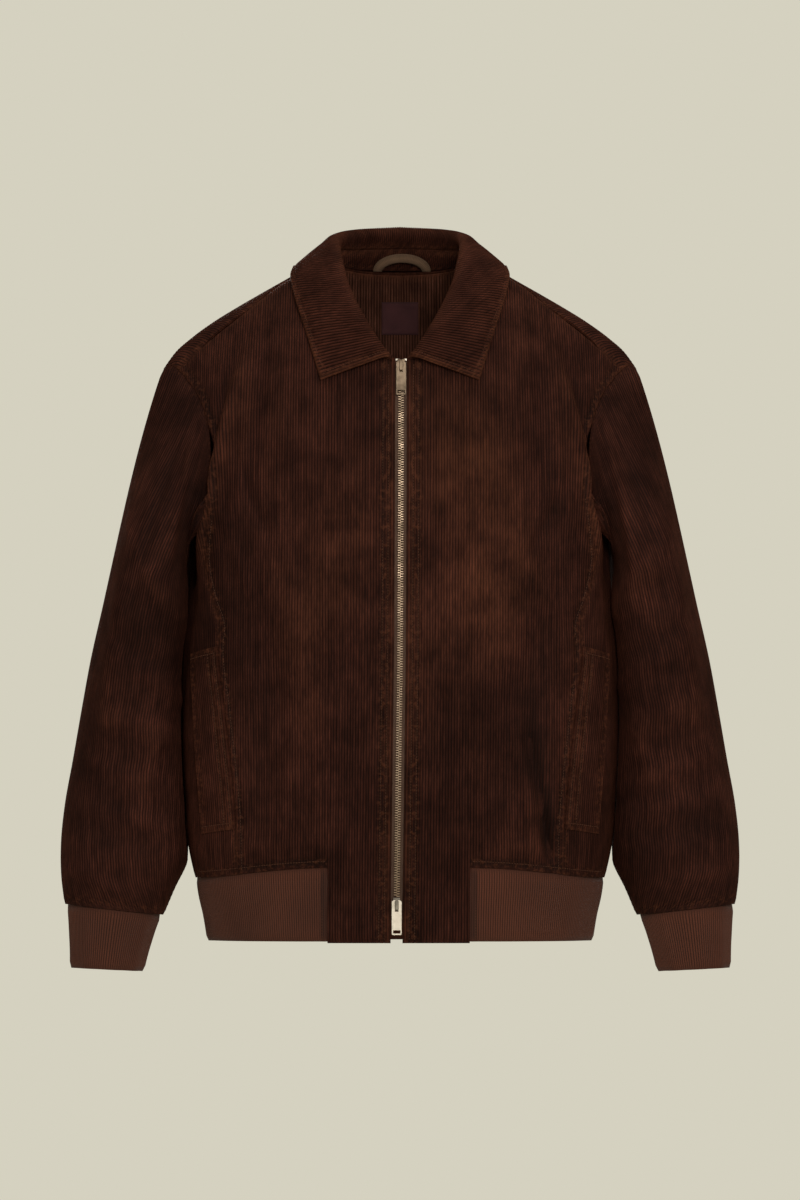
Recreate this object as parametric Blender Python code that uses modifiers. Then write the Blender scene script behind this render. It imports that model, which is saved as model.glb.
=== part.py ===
"""Corduroy zip jacket with a turned-down collar and ribbed cuffs and hem, hollow, as it hangs when worn.

Metres, +Z up. The front faces -Y and the wearer's left side is at +X. The origin is the middle of the
neck, level with the neck points of the shoulder seams.

Every panel is a grid of points on a surface given by pattern positions: the distance across the cloth
and the height along it. The body is made of level rings up to the chest, and of arcs from the chest to
the shoulder ridge above it. A sleeve is made of arcs from the armhole to its first ring, then of rings.
Panels that meet share the points of their seam, and each stands back from it by half the seam gap.
"""

import bpy
import bmesh
import numpy as np

GARMENT = "corduroy_jacket"
CUTTERS = "cutters"

# ---- driving dimensions
CLOTH = 0.0020  # wall of corduroy
KNIT = 0.0022  # wall of the knit rib, without its ribs
RIB_DEPTH = 0.0010  # of the hem's knit behind the body's face
COLLAR_CLOTH = 0.0026  # two layers with an interlining
SEAM_GAP = 0.0004
LAY_GAP = 0.0004  # between a panel and a piece that lies on it
CHEST_LEVEL = -0.235
BACK_HEM = -0.6200  # seam of body and rib, round the sides and the back
FRONT_HEM = -0.6095  # the same seam next to the front tabs
HEM_END = -0.6835  # lower edge of the rib
TAB_END = -0.6850  # lower edge of the front tabs
FRONT_EDGE = 0.0059  # from the zip's middle to a front's folded edge
TAB_WIDTH = 0.0715
UNDERARM = -0.2630
NECK_POINT = 0.078  # half the width of the neckline
SHOULDER_TIP = 0.262  # across the cloth, from the centre to the end of the ridge
SEAM_TIP = 0.247  # across the front, to the forward end of the shoulder seam
RISE = 0.200  # span of the height coordinate between the chest and the ridge
RING_POWER = 2.3  # 2 is an ellipse, more is squarer
SLEEVE_POWER = 2.15
RIB_PITCH = 0.0025
RIB_HEIGHT = 0.0008
ZIP_TOP = -0.1150  # upper end of the closed teeth, under the top slider
ZIP_BOTTOM = -0.6390
TAPE_END = -0.6650
CHAIN_HALF_WIDTH = 0.0028
CHAIN_DEPTHS = (0.0002, 0.0020)  # of the teeth under the cloth's face
TAPE_EDGES = (0.0012, 0.0059, 0.0140)  # from the zip's middle
TAPE_DEPTHS = (0.0027, 0.0035)
TAPE_RISE = 0.0008  # of the tapes over the neckline
STOP_HEIGHTS = (0.0004, -0.0012)  # from the neckline
STOP_EDGES = (0.0038, 0.0055)
TOP_SLIDER_AT = -0.1080
BOTTOM_SLIDER_AT = -0.6460
SLEEVE_CLEARANCE = 0.0035  # between a sleeve and the body's side
SLEEVE_BEND = 0.0020  # over which a sleeve bends to follow the body's side
ROLL_RADIUS = 0.0042  # half the thickness of the collar's rolled edge
ROLL_REACH = 0.0040  # from the rolled edge to the flat of the stand and the leaf
FACING = 0.0014  # wall of the back facing
FACING_MARGIN = 0.0015  # between its upper edge and the neck seam
WELT = 0.0018
WELT_TOP = (-0.388, -0.396)  # height at the seam and at the free edge
WELT_END = (-0.571, -0.576)
WELT_WIDTH = (0.045, 0.049)  # at its lower and its upper end
LABEL_HEIGHTS = (-0.074, -0.041)
LABEL_HALF_WIDTH = 0.019
LABEL = 0.0005
LOOP_ENDS = (-0.027, 0.031)
LOOP_RISE = 0.0132  # of the middle of the tape above its ends
LOOP_TAPE = 0.0090
LOOP_THICK = 0.0010
LOOP_FORWARD = 0.0060  # how far its middle stands off the collar
LOOP_GAP = 0.0010
PULL_LENGTH = 0.0345
PULL_WIDTH = 0.0100
PULL_THICK = 0.0010
PULL_BAR = 0.0010  # the bar of the pull that turns in the slider's bridge
PULL_EYE = (0.0035, 0.0110)  # width, and its lower end below the axis
PULL_SLOT = (0.0072, 0.0030, 0.0298)  # width, height, and its upper end below the axis
PULL_CORNER = 0.0010
PULL_BEVEL = 0.0002
SLIDER_WIDE = 0.0086
SLIDER_NARROW = 0.0066
SLIDER_LONG = 0.0130
BRIDGE_ROOT = 0.0006  # how far the bridge goes into the slider
SLIDER_PROUD = 0.0010  # of the slider's face over the cloth
SLIDER_DEEP = 0.0016  # from the cloth's face to the slider's back
BRIDGE_WIDTH = 0.0026
BRIDGE_EYE = (0.0098, 0.00175)  # length and height of the space under the bridge
BRIDGE_BAR = 0.0011
AXIS_BELOW_EYE = 0.0009  # from the eye's upper end to the pull's axis

# ---- how finely the panels are divided
HEM_TO_CHEST = 12
ARMHOLE_FRONT_CELLS = 7
ARMHOLE_BACK_CELLS = 7
SIDE_CELLS = 8
STRIP_CELLS = 2
SHOULDER_CELLS = 8
CAP_ROWS = 6
TUBE_ROWS = 10
STEP = 0.002  # for slopes of a surface
SLOPE_STEP = 0.004  # for the body's lean under the chest
RIM_ORDER = np.array([0.11, 0.37, 1.0])  # direction that orders the two ends of a seam's stretch
SIDES = (("left", 1), ("right", -1))

# ---- tables
BODY_SECTIONS = np.array(
    (
        # height, half width, front depth, back depth
        (-0.700, 0.1900, 0.1080, 0.0960),
        (-0.683, 0.1930, 0.1100, 0.0980),
        (-0.650, 0.1985, 0.1130, 0.1010),
        (-0.620, 0.2050, 0.1165, 0.1040),
        (-0.590, 0.2115, 0.1195, 0.1060),
        (-0.550, 0.2150, 0.1215, 0.1070),
        (-0.450, 0.2185, 0.1230, 0.1070),
        (-0.380, 0.2165, 0.1225, 0.1080),
        (-0.337, 0.2120, 0.1205, 0.1100),
        (-0.290, 0.2090, 0.1170, 0.1125),
        (-0.235, 0.2110, 0.1120, 0.1140),
    )
)
RIDGE = np.array(
    (
        # distance from the centre, height, depth
        (0.000, 0.0400, 0.0080),
        (0.040, 0.0210, 0.0075),
        (0.078, 0.0000, 0.0060),
        (0.110, -0.0185, 0.0050),
        (0.143, -0.0372, 0.0040),
        (0.165, -0.0500, 0.0030),
        (0.189, -0.0650, 0.0020),
        (0.210, -0.0805, 0.0010),
        (0.225, -0.0940, 0.0000),
        (0.238, -0.1120, 0.0000),
    )
)
SHOULDER_DROP = np.array(
    (
        # distance from the centre, how far the shoulder seam lies below the ridge
        (0.078, 0.0000),
        (0.100, 0.0004),
        (0.123, 0.0020),
        (0.156, 0.0100),
        (0.184, 0.0150),
        (0.201, 0.0180),
        (0.223, 0.0215),
    )
)
FRONT_NECKLINE = np.array(
    (
        # across, height
        (0.0059, -0.1000),
        (0.0220, -0.0960),
        (0.0400, -0.0840),
        (0.0560, -0.0650),
        (0.0680, -0.0420),
        (0.0750, -0.0200),
    )
)
BACK_NECKLINE = np.array(
    (
        # across, height
        (0.000, -0.0130),
        (0.020, -0.0126),
        (0.040, -0.0112),
        (0.060, -0.0075),
    )
)
PANEL_SEAM = np.array(
    (
        # height, distance of the front's side seam from the centre
        (-0.620, 0.1630),
        (-0.573, 0.1640),
        (-0.450, 0.1755),
        (-0.390, 0.1815),
        (-0.365, 0.1800),
        (-0.345, 0.1865),
        (-0.315, 0.1925),
        (-0.270, 0.1900),
        (-0.235, 0.1860),
    )
)
BACK_PANEL = np.array(
    (
        # height, half width of the back across the cloth
        (-0.620, 0.1800),
        (-0.450, 0.1920),
        (-0.320, 0.2020),
        (-0.235, 0.2040),
    )
)
FRONT_ARMHOLE = np.array(
    (
        # distance from the centre, height, from the side seam up to the shoulder seam
        (0.1865, -0.2150),
        (0.1885, -0.1930),
        (0.1915, -0.1715),
        (0.1965, -0.1510),
        (0.2035, -0.1350),
        (0.2130, -0.1220),
        (0.2230, -0.1140),
    )
)
BACK_ARMHOLE = np.array(
    (
        # across the back, share of the way from the chest to the ridge
        (0.2060, 0.120),
        (0.2080, 0.250),
        (0.2110, 0.390),
        (0.2170, 0.540),
        (0.2280, 0.700),
        (0.2430, 0.860),
        (0.2620, 1.000),
    )
)
SLEEVE_SECTIONS = np.array(
    (
        # height, inner edge, outer edge, front depth, back depth, tilt
        (-0.315, 0.2050, 0.2890, 0.0690, 0.0800, 0.15),
        (-0.353, 0.2075, 0.2973, 0.0670, 0.0850, 0.15),
        (-0.409, 0.2110, 0.3098, 0.0620, 0.0880, 0.15),
        (-0.460, 0.2110, 0.3190, 0.0580, 0.0860, 0.15),
        (-0.511, 0.2080, 0.3278, 0.0560, 0.0810, 0.14),
        (-0.556, 0.2065, 0.3358, 0.0570, 0.0710, 0.13),
        (-0.592, 0.2110, 0.3395, 0.0570, 0.0610, 0.12),
        (-0.625, 0.2260, 0.3392, 0.0550, 0.0470, 0.11),
        (-0.652, 0.2370, 0.3358, 0.0520, 0.0330, 0.11),
    )
)
SLEEVE_START = SLEEVE_SECTIONS[0, 0]
SLEEVE_END = SLEEVE_SECTIONS[-1, 0]
CUFF_SECTIONS = np.array(
    (
        # height, inner edge, outer edge, front depth, back depth, tilt
        (-0.6524, 0.2402, 0.3334, 0.0505, 0.0315, 0.11),
        (-0.6680, 0.2465, 0.3312, 0.0480, 0.0290, 0.08),
        (-0.7122, 0.2580, 0.3304, 0.0450, 0.0230, 0.05),
    )
)
SLEEVE_SHARE = np.array(
    (
        # share of the half sleeve from its outer line, share of the half armhole from the tip
        (0.000, 0.000),
        (0.250, 0.120),
        (0.500, 0.270),
        (0.750, 0.520),
        (0.880, 0.720),
        (1.000, 1.000),
    )
)
# Folds of the body: side (1 at +X, -1 at -X), then two ends as distance round from the centre front and
# height, then half width and rise. A negative rise is a trough.
BODY_FOLDS = (
    (-1, 0.172, -0.150, 0.216, -0.300, 0.016, 0.0050),
    (1, 0.174, -0.160, 0.214, -0.310, 0.016, 0.0045),
    (-1, 0.246, -0.236, 0.250, -0.330, 0.016, -0.0070),
    (1, 0.246, -0.240, 0.248, -0.320, 0.016, -0.0065),
    (-1, 0.130, -0.300, 0.085, -0.470, 0.022, 0.0028),
    (1, 0.085, -0.185, 0.120, -0.330, 0.024, 0.0030),
    (1, 0.120, -0.400, 0.100, -0.560, 0.020, -0.0026),
    (-1, 0.060, -0.380, 0.055, -0.560, 0.018, -0.0022),
    (-1, 0.400, -0.280, 0.380, -0.500, 0.024, 0.0035),
    (1, 0.395, -0.260, 0.375, -0.520, 0.024, 0.0030),
    (-1, 0.470, -0.300, 0.460, -0.560, 0.022, -0.0030),
    (1, 0.465, -0.340, 0.470, -0.580, 0.022, -0.0028),
)
# Folds of a sleeve: side, then two ends as share round from the outer line (front positive) and height,
# then half width and rise.
SLEEVE_FOLDS = (
    (1, 0.42, -0.300, 0.80, -0.360, 0.016, 0.0040),
    (-1, 0.40, -0.310, 0.80, -0.370, 0.016, 0.0040),
    (1, 0.30, -0.440, 0.72, -0.480, 0.015, 0.0030),
    (-1, 0.34, -0.455, 0.70, -0.485, 0.015, 0.0030),
    (1, 0.20, -0.560, 0.62, -0.580, 0.014, -0.0030),
    (-1, 0.24, -0.565, 0.60, -0.590, 0.014, -0.0030),
    (1, -0.30, -0.420, -0.70, -0.470, 0.016, 0.0030),
    (-1, -0.30, -0.430, -0.70, -0.460, 0.016, 0.0030),
)
# The collar along the neckline, from the front end (share 0) to the centre back (share 1).
COLLAR_ROLL = np.array(
    (
        # share, distance from the centre, depth, height
        (0.00, 0.0105, -0.0965, -0.0975),
        (0.10, 0.0200, -0.0935, -0.0840),
        (0.25, 0.0340, -0.0850, -0.0620),
        (0.42, 0.0470, -0.0670, -0.0370),
        (0.50, 0.0530, -0.0550, -0.0230),
        (0.60, 0.0595, -0.0290, 0.0030),
        (0.68, 0.0620, -0.0040, 0.0185),
        (0.78, 0.0580, 0.0240, 0.0255),
        (0.88, 0.0420, 0.0460, 0.0294),
        (1.00, 0.0000, 0.0590, 0.0320),
    )
)
COLLAR_EDGE = np.array(
    (
        # share, distance from the centre, height, how far the edge stands off the body
        (0.00, 0.0790, -0.1230, 0.0050),
        (0.10, 0.0860, -0.1000, 0.0050),
        (0.25, 0.0955, -0.0690, 0.0050),
        (0.42, 0.1040, -0.0400, 0.0075),
        (0.50, 0.1065, -0.0250, 0.0090),
    )
)
COLLAR_BACK_EDGE = np.array(
    (
        # share, distance from the centre, depth, height
        (0.60, 0.1080, 0.0040, -0.0090),
        (0.68, 0.1070, 0.0330, -0.0130),
        (0.78, 0.0950, 0.0620, -0.0240),
        (0.88, 0.0680, 0.0820, -0.0330),
        (1.00, 0.0000, 0.0940, -0.0370),
    )
)
COLLAR_FORM = np.array(
    (
        # share, height of the stand, how far the leaf bulges
        (0.00, 0.0070, 0.0015),
        (0.25, 0.0090, 0.0040),
        (0.50, 0.0120, 0.0050),
        (0.70, 0.0200, 0.0040),
        (1.00, 0.0260, 0.0030),
    )
)

CORDUROY = ("corduroy", (0.040, 0.014, 0.009, 1.0), 0.95, 0.0)
RIB_KNIT = ("rib_knit", (0.060, 0.024, 0.015, 1.0), 0.90, 0.0)
TAPE_CLOTH = ("zip_tape", (0.110, 0.060, 0.040, 1.0), 0.85, 0.0)
LOOP_CLOTH = ("loop_tape", (0.090, 0.055, 0.034, 1.0), 0.80, 0.0)
LABEL_CLOTH = ("woven_label", (0.030, 0.010, 0.012, 1.0), 0.70, 0.0)
BRASS = ("antique_brass", (0.330, 0.240, 0.150, 1.0), 0.35, 1.0)
NICKEL = ("pale_nickel", (0.700, 0.640, 0.540, 1.0), 0.25, 1.0)


# ---- curves, rings and surfaces
def curve(knots, values, at):
    """Smooth curve through the values at the knots: cubic pieces whose slopes are the mean ones."""
    slopes = np.gradient(values, knots)
    at = np.clip(at, knots[0], knots[-1])
    i = np.clip(np.searchsorted(knots, at) - 1, 0, len(knots) - 2)
    step = knots[i + 1] - knots[i]
    f = (at - knots[i]) / step
    rise = values[i + 1] - values[i]
    hermite = f * f * (3 - 2 * f) * rise
    entry = f * (1 - f) * (1 - f) * slopes[i] * step
    leave = f * f * (1 - f) * slopes[i + 1] * step
    return values[i] + hermite + entry - leave


def column_of(table, index, at):
    """One column of a table at the given value of its first column."""
    rows = table[np.argsort(table[:, 0])]
    return curve(rows[:, 0], rows[:, index], at)


def unit(vectors):
    """The vectors at length 1."""
    return vectors / np.maximum(np.linalg.norm(vectors, axis=-1, keepdims=True), 1e-12)


def make_rings(levels, steps):
    """Rings of the body as tables: half length at each level, and x and y at even steps along it."""
    width, front, back = (column_of(BODY_SECTIONS, k, levels)[:, None] for k in (1, 2, 3))
    turn = np.linspace(0, np.pi, 1441)[None, :]
    x = width * np.sin(turn) ** (2 / RING_POWER)
    toward = np.cos(turn)
    y = -np.where(toward > 0, front, back) * np.sign(toward) * np.abs(toward) ** (2 / RING_POWER)
    x[:, -1] = 0
    run = np.hypot(np.diff(x, axis=1), np.diff(y, axis=1)).cumsum(axis=1)
    run = np.insert(run, 0, 0, axis=1)
    share = np.linspace(0, 1, steps)
    even_x = np.array([np.interp(share * r[-1], r, row) for r, row in zip(run, x)])
    even_y = np.array([np.interp(share * r[-1], r, row) for r, row in zip(run, y)])
    return run[:, -1], even_x, even_y


LEVELS = np.linspace(BODY_SECTIONS[0, 0], CHEST_LEVEL, 160)
RING_STEPS = 601
HALF_LENGTH, RING_X, RING_Y = make_rings(LEVELS, RING_STEPS)


def half_length(height):
    """Length of half the body's ring at a height."""
    return np.interp(height, LEVELS, HALF_LENGTH)


def ring_point(run, height):
    """Plain body point at a distance round from the centre front, on the +X half."""
    along = np.clip(run / half_length(height), 0, 1) * (RING_STEPS - 1)
    i = np.minimum(along.astype(int), RING_STEPS - 2)
    level = np.clip((height - LEVELS[0]) / (LEVELS[1] - LEVELS[0]), 0, len(LEVELS) - 1.001)
    k = level.astype(int)
    fi, fk = along - i, level - k

    def read(grid):
        low = grid[k, i] * (1 - fi) + grid[k, i + 1] * fi
        high = grid[k + 1, i] * (1 - fi) + grid[k + 1, i + 1] * fi
        return low * (1 - fk) + high * fk

    return np.stack([read(RING_X), read(RING_Y), height], axis=-1)


def ridge_point(across):
    """Point of the shoulder ridge for a column of the cloth."""
    scale = (RIDGE[-1, 0] - NECK_POINT) / (SHOULDER_TIP - NECK_POINT)
    x = np.where(across < NECK_POINT, across, NECK_POINT + (across - NECK_POINT) * scale)
    return np.stack([x, column_of(RIDGE, 2, x), column_of(RIDGE, 1, x)], axis=-1)


def plain_half(across, height, back):
    """Plain point of the front or the back on the +X half: a ring below the chest, an arc above it."""
    low = np.minimum(height, CHEST_LEVEL)
    run = half_length(low) - across if back else across
    point = ring_point(run, low)
    chest = np.full_like(height, CHEST_LEVEL)
    lower = chest - SLOPE_STEP
    start_run = half_length(chest) - across if back else across
    under_run = half_length(lower) - across if back else across
    start = ring_point(start_run, chest)
    lean = (start - ring_point(under_run, lower)) / SLOPE_STEP
    end = ridge_point(across)
    climb = (end[..., 2] - CHEST_LEVEL)[..., None]
    reach = np.abs(end[..., 1] - start[..., 1])
    first = start + lean * climb * 0.5
    last = end.copy()
    last[..., 1] += reach * (0.55 if back else -0.5)
    w = np.clip((height - CHEST_LEVEL) / RISE, 0, 1)[..., None]
    arc = (1 - w) ** 3 * start + 3 * w * (1 - w) ** 2 * first + 3 * w**2 * (1 - w) * last + w**3 * end
    return np.where((height > CHEST_LEVEL)[..., None], arc, point)


def fold_rise(table, side, along, height, scale=1.0):
    """Sum of soft ridges and troughs at pattern positions, each fading at its two ends."""
    total = np.zeros_like(along)
    for fold_side, a0, t0, a1, t1, half_width, rise in table:
        span = np.hypot((a1 - a0) * scale, t1 - t0)
        ua, ut = (a1 - a0) * scale / span, (t1 - t0) / span
        da, dt = (along - a0) * scale, height - t0
        forward = (da * ua + dt * ut) / span
        aside = (da * ut - dt * ua) / half_width
        fade = np.exp(-(np.maximum(np.abs(forward - 0.5) - 0.32, 0) / 0.22) ** 2)
        total += np.where(side == fold_side, rise * np.exp(-aside * aside) * fade, 0)
    return total


def mirrored(points, side):
    """The points, with x turned over where the side is -1."""
    return points * np.stack([side, np.ones_like(side), np.ones_like(side)], axis=-1)


def zip_drift(height):
    """How far the zip swings to the side on its way down."""
    return np.interp(height, (-0.66, -0.40, -0.10), (-0.0035, 0.0, 0.0015))


def surface_normal(surface, across, height):
    """Outward unit normal of a surface of the body, from its slopes."""
    over = surface(across + STEP, height) - surface(across - STEP, height)
    up = surface(across, height + STEP) - surface(across, height - STEP)
    return unit(np.cross(over, up))


def plain_front(across, height):
    """Front without folds at a signed distance across from the centre front."""
    side = np.where(across < 0, -1.0, 1.0)
    point = mirrored(plain_half(np.abs(across), height, back=False), side)
    point[..., 0] += zip_drift(height) * np.exp(-((across / 0.075) ** 2))
    return point


def plain_back(across, height):
    """Back without folds at a signed distance across from the centre back."""
    side = np.where(across < 0, -1.0, 1.0)
    return mirrored(plain_half(np.abs(across), height, back=True), side)


def front(across, height):
    """Folded front at a signed distance across from the centre front."""
    across, height = np.broadcast_arrays(np.asarray(across, float), np.asarray(height, float))
    rise = fold_rise(BODY_FOLDS, np.where(across < 0, -1, 1), np.abs(across), height)
    return plain_front(across, height) + surface_normal(plain_front, across, height) * rise[..., None]


def back(across, height):
    """Folded back at a signed distance across from the centre back."""
    across, height = np.broadcast_arrays(np.asarray(across, float), np.asarray(height, float))
    run = half_length(np.minimum(height, CHEST_LEVEL)) - np.abs(across)
    rise = fold_rise(BODY_FOLDS, np.where(across < 0, -1, 1), run, height)
    return plain_back(across, height) - surface_normal(plain_back, across, height) * rise[..., None]


def front_normal(across, height):
    """Outward normal of the front."""
    return surface_normal(front, across, height)


def back_normal(across, height):
    """Outward normal of the back, whose distance across runs the other way round the body."""
    over = back(across + STEP, height) - back(across - STEP, height)
    up = back(across, height + STEP) - back(across, height - STEP)
    return -unit(np.cross(over, up))


def run_at(distance, height):
    """Distance round the front of the ring to the point that lies this far from the centre."""
    runs = np.linspace(0, 0.5, 2001)
    half_width = column_of(BODY_SECTIONS, 1, height)
    found = []
    for wanted, level, limit in zip(np.ravel(distance), np.ravel(height), np.ravel(half_width)):
        x = ring_point(runs * half_length(level), np.full_like(runs, level))[:, 0]
        found.append(np.interp(min(wanted, limit), x, runs * half_length(level)))
    return np.reshape(found, np.shape(distance))


def place_on_front(distance, height):
    """Pattern position of the front's point with this distance from the centre and this height."""
    across = np.array(distance, float)
    climb = np.array(height, float)
    for _ in range(40):
        point = plain_front(across, climb)
        ahead = plain_front(across, climb + STEP)
        slope = np.maximum((ahead[..., 2] - point[..., 2]) / STEP, 0.15)
        across = across + 0.8 * (distance - point[..., 0])
        climb = np.clip(climb + 0.8 * (height - point[..., 2]) / slope, -0.70, CHEST_LEVEL + RISE)
    return across, climb


def climb_to_height(surface, across, height):
    """Height coordinates at which columns of the cloth reach the heights given for them."""
    climbs = np.linspace(CHEST_LEVEL, CHEST_LEVEL + RISE, 801)
    found = []
    for a, wanted in zip(across, height):
        found.append(np.interp(wanted, surface(np.full_like(climbs, a), climbs)[:, 2], climbs))
    return np.array(found)


def climb_to_seam(across):
    """Height coordinates at which columns of the front reach the shoulder seam."""
    climbs = np.linspace(CHEST_LEVEL, CHEST_LEVEL + RISE, 801)
    found = []
    for a in across:
        points = plain_front(np.full_like(climbs, a), climbs)
        found.append(np.interp(0.0, points[:, 2] - seam_height(points[:, 0]), climbs))
    return np.array(found)


# ---- walls
def material(spec):
    """Material with a name, a colour, a roughness and a metallic share."""
    name, colour, roughness, metallic = spec
    made = bpy.data.materials.get(name) or bpy.data.materials.new(name)
    made.use_nodes = True
    shader = made.node_tree.nodes["Principled BSDF"]
    shader.inputs["Base Color"].default_value = colour
    shader.inputs["Roughness"].default_value = roughness
    shader.inputs["Metallic"].default_value = metallic
    return made


def new_object(name, points, faces, spec):
    """Object from points and faces, its faces turned outwards."""
    mesh = bpy.data.meshes.new(name)
    mesh.from_pydata(points.tolist(), [], faces)
    work = bmesh.new()
    work.from_mesh(mesh)
    bmesh.ops.recalc_face_normals(work, faces=work.faces)
    if work.calc_volume(signed=True) < 0:
        bmesh.ops.reverse_faces(work, faces=work.faces)
    work.to_mesh(mesh)
    work.free()
    mesh.shade_smooth()
    mesh.set_sharp_from_angle(angle=np.radians(50))
    mesh.materials.append(material(spec))
    made = bpy.data.objects.new(name, mesh)
    bpy.data.collections[GARMENT].objects.link(made)
    return made


def rim_faces(points, p, q, inner):
    """Two triangles of a rim. Pieces that share a seam cut its quads along the same diagonal."""
    first = points[p] @ RIM_ORDER
    second = points[q] @ RIM_ORDER
    if first < second:
        return [[p, p + inner, q + inner], [p, q + inner, q]]
    return [[p, p + inner, q], [q, p + inner, q + inner]]


def wall_faces(points, used, wrap, middle):
    """Faces of a closed wall over a grid of cells: outer, inner, and a rim along every open edge.

    Cells before the middle column start at another corner, so that both halves are cut alike.
    """
    rows, columns = used.shape
    width = columns if wrap else columns + 1
    inner = (rows + 1) * width

    def corners(r, c):
        left, right = c, (c + 1) % width
        return [r * width + left, r * width + right, (r + 1) * width + right, (r + 1) * width + left]

    faces = []
    for r in range(rows):
        for c in range(columns):
            if not used[r, c]:
                continue
            a, b, d, e = corners(r, c)
            outer = [b, d, e, a] if c < middle else [a, b, d, e]
            faces += [outer, [i + inner for i in outer[:1] + outer[:0:-1]]]
            beside = (
                (r - 1, c, a, b),
                (r, c + 1, b, d),
                (r + 1, c, d, e),
                (r, c - 1, e, a),
            )
            for rr, cc, p, q in beside:
                cc = cc % columns if wrap else cc
                inside = 0 <= rr < rows and 0 <= cc < columns and used[rr, cc]
                if not inside:
                    faces += rim_faces(points, p, q, inner)
    return faces


def wall(name, outer, inner, spec, used=None, wrap=False, middle=0):
    """Closed wall between an outer and an inner grid of points."""
    rows, columns = outer.shape[:2]
    cells = columns if wrap else columns - 1
    used = np.ones((rows - 1, cells), bool) if used is None else used
    points = np.concatenate([outer.reshape(-1, 3), inner.reshape(-1, 3)])
    faces = wall_faces(points, used, wrap, middle)
    needed = sorted({i for face in faces for i in face})
    place = {old: new for new, old in enumerate(needed)}
    return new_object(name, points[needed], [[place[i] for i in face] for face in faces], spec)


def stand_back(points, from_points, distance=SEAM_GAP / 2):
    """Points of an edge drawn toward their neighbours inside the panel."""
    return points + unit(from_points - points) * distance


# ---- the armhole, shared by front, side, back and sleeve
def front_columns():
    """Shares across a front: the neckline's points, then even steps from the tab's joint."""
    neck = (np.append(FRONT_NECKLINE[:, 0], NECK_POINT) - FRONT_EDGE) / (SEAM_TIP - FRONT_EDGE)
    hem_run = float(run_at(PANEL_SEAM[0, 1], PANEL_SEAM[0, 0]))
    joint = (TAB_WIDTH - FRONT_EDGE) / (hem_run - FRONT_EDGE)
    shoulder = np.linspace(joint, 1, SHOULDER_CELLS)
    low = np.concatenate([np.linspace(0, joint, len(neck) + 1), shoulder[1:]])
    return np.concatenate([neck, shoulder]), low, len(neck) - 1, len(neck)


COLUMNS, LOW_COLUMNS, NECK_COLUMN, TAB_COLUMN = front_columns()


def shoulder_share():
    """Share of the shoulder's width for each column from the neck point to the tip."""
    columns = COLUMNS[NECK_COLUMN:]
    return (columns - columns[0]) / (columns[-1] - columns[0])


def seam_height(x):
    """Height of the shoulder seam at a distance from the centre."""
    x = np.abs(x)
    return column_of(RIDGE, 1, x) - column_of(SHOULDER_DROP, 1, x)


def hem_height(run):
    """Height of the seam of body and rib at a distance round from the centre front."""
    f = np.clip((np.abs(run) - TAB_WIDTH) / 0.16, 0, 1)
    return FRONT_HEM + (BACK_HEM - FRONT_HEM) * f * f * (3 - 2 * f)


def top_of_front(columns):
    """Across and height coordinates of the front's top edge: neckline, then shoulder seam."""
    across = FRONT_EDGE + columns * (SEAM_TIP - FRONT_EDGE)
    neck = across < NECK_POINT - 1e-6
    climb = np.empty_like(across)
    neck_height = column_of(FRONT_NECKLINE, 1, across)
    climb[neck] = climb_to_height(plain_front, across[neck], neck_height[neck])
    climb[~neck] = climb_to_seam(across[~neck])
    climb[np.isclose(across, NECK_POINT)] = CHEST_LEVEL + RISE
    return across, climb


def armhole_front():
    """Pattern positions of the front's armhole, from the side seam's top to the shoulder seam."""
    corner = float(run_at(PANEL_SEAM[-1, 1], CHEST_LEVEL))
    across, climb = place_on_front(FRONT_ARMHOLE[:, 0], FRONT_ARMHOLE[:, 1])
    across[-1] = SEAM_TIP
    climb[-1] = climb_to_seam([SEAM_TIP])[0]
    return np.insert(across, 0, corner), np.insert(climb, 0, CHEST_LEVEL)


def armhole_back():
    """Pattern positions of the back's armhole, from the side seam's top to the tip of the ridge."""
    across = np.insert(BACK_ARMHOLE[:, 0], 0, BACK_PANEL[-1, 1])
    climb = CHEST_LEVEL + np.insert(BACK_ARMHOLE[:, 1], 0, 0.0) * RISE
    return across, climb


def side_edges(share):
    """Distance round to a side panel's front and back edge at a share of the way from hem to chest."""
    level = BACK_HEM + (CHEST_LEVEL - BACK_HEM) * share
    start = float(run_at(column_of(PANEL_SEAM, 1, level), level))
    end = float(half_length(level) - column_of(BACK_PANEL, 1, level))
    return start, end


def underarm_height(share):
    """Height of the side panel's top edge at a share of its width."""
    return UNDERARM + (CHEST_LEVEL - UNDERARM) * np.abs(2 * share - 1) ** 2.4


def strip_positions(columns_share):
    """Pattern positions on the front of the back's overlap onto the shoulder, from ridge to seam."""
    on_ridge = NECK_POINT + columns_share * (SHOULDER_TIP - NECK_POINT)
    on_seam = NECK_POINT + columns_share * (SEAM_TIP - NECK_POINT)
    seam_climb = climb_to_seam(on_seam)
    seam_climb = np.where(np.isclose(on_seam, NECK_POINT), CHEST_LEVEL + RISE, seam_climb)
    f = np.linspace(0, 1, STRIP_CELLS + 1)[:, None]
    across = on_ridge * (1 - f) + on_seam * f
    climb = (CHEST_LEVEL + RISE) * (1 - f) + seam_climb * f
    return across, climb


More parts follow.
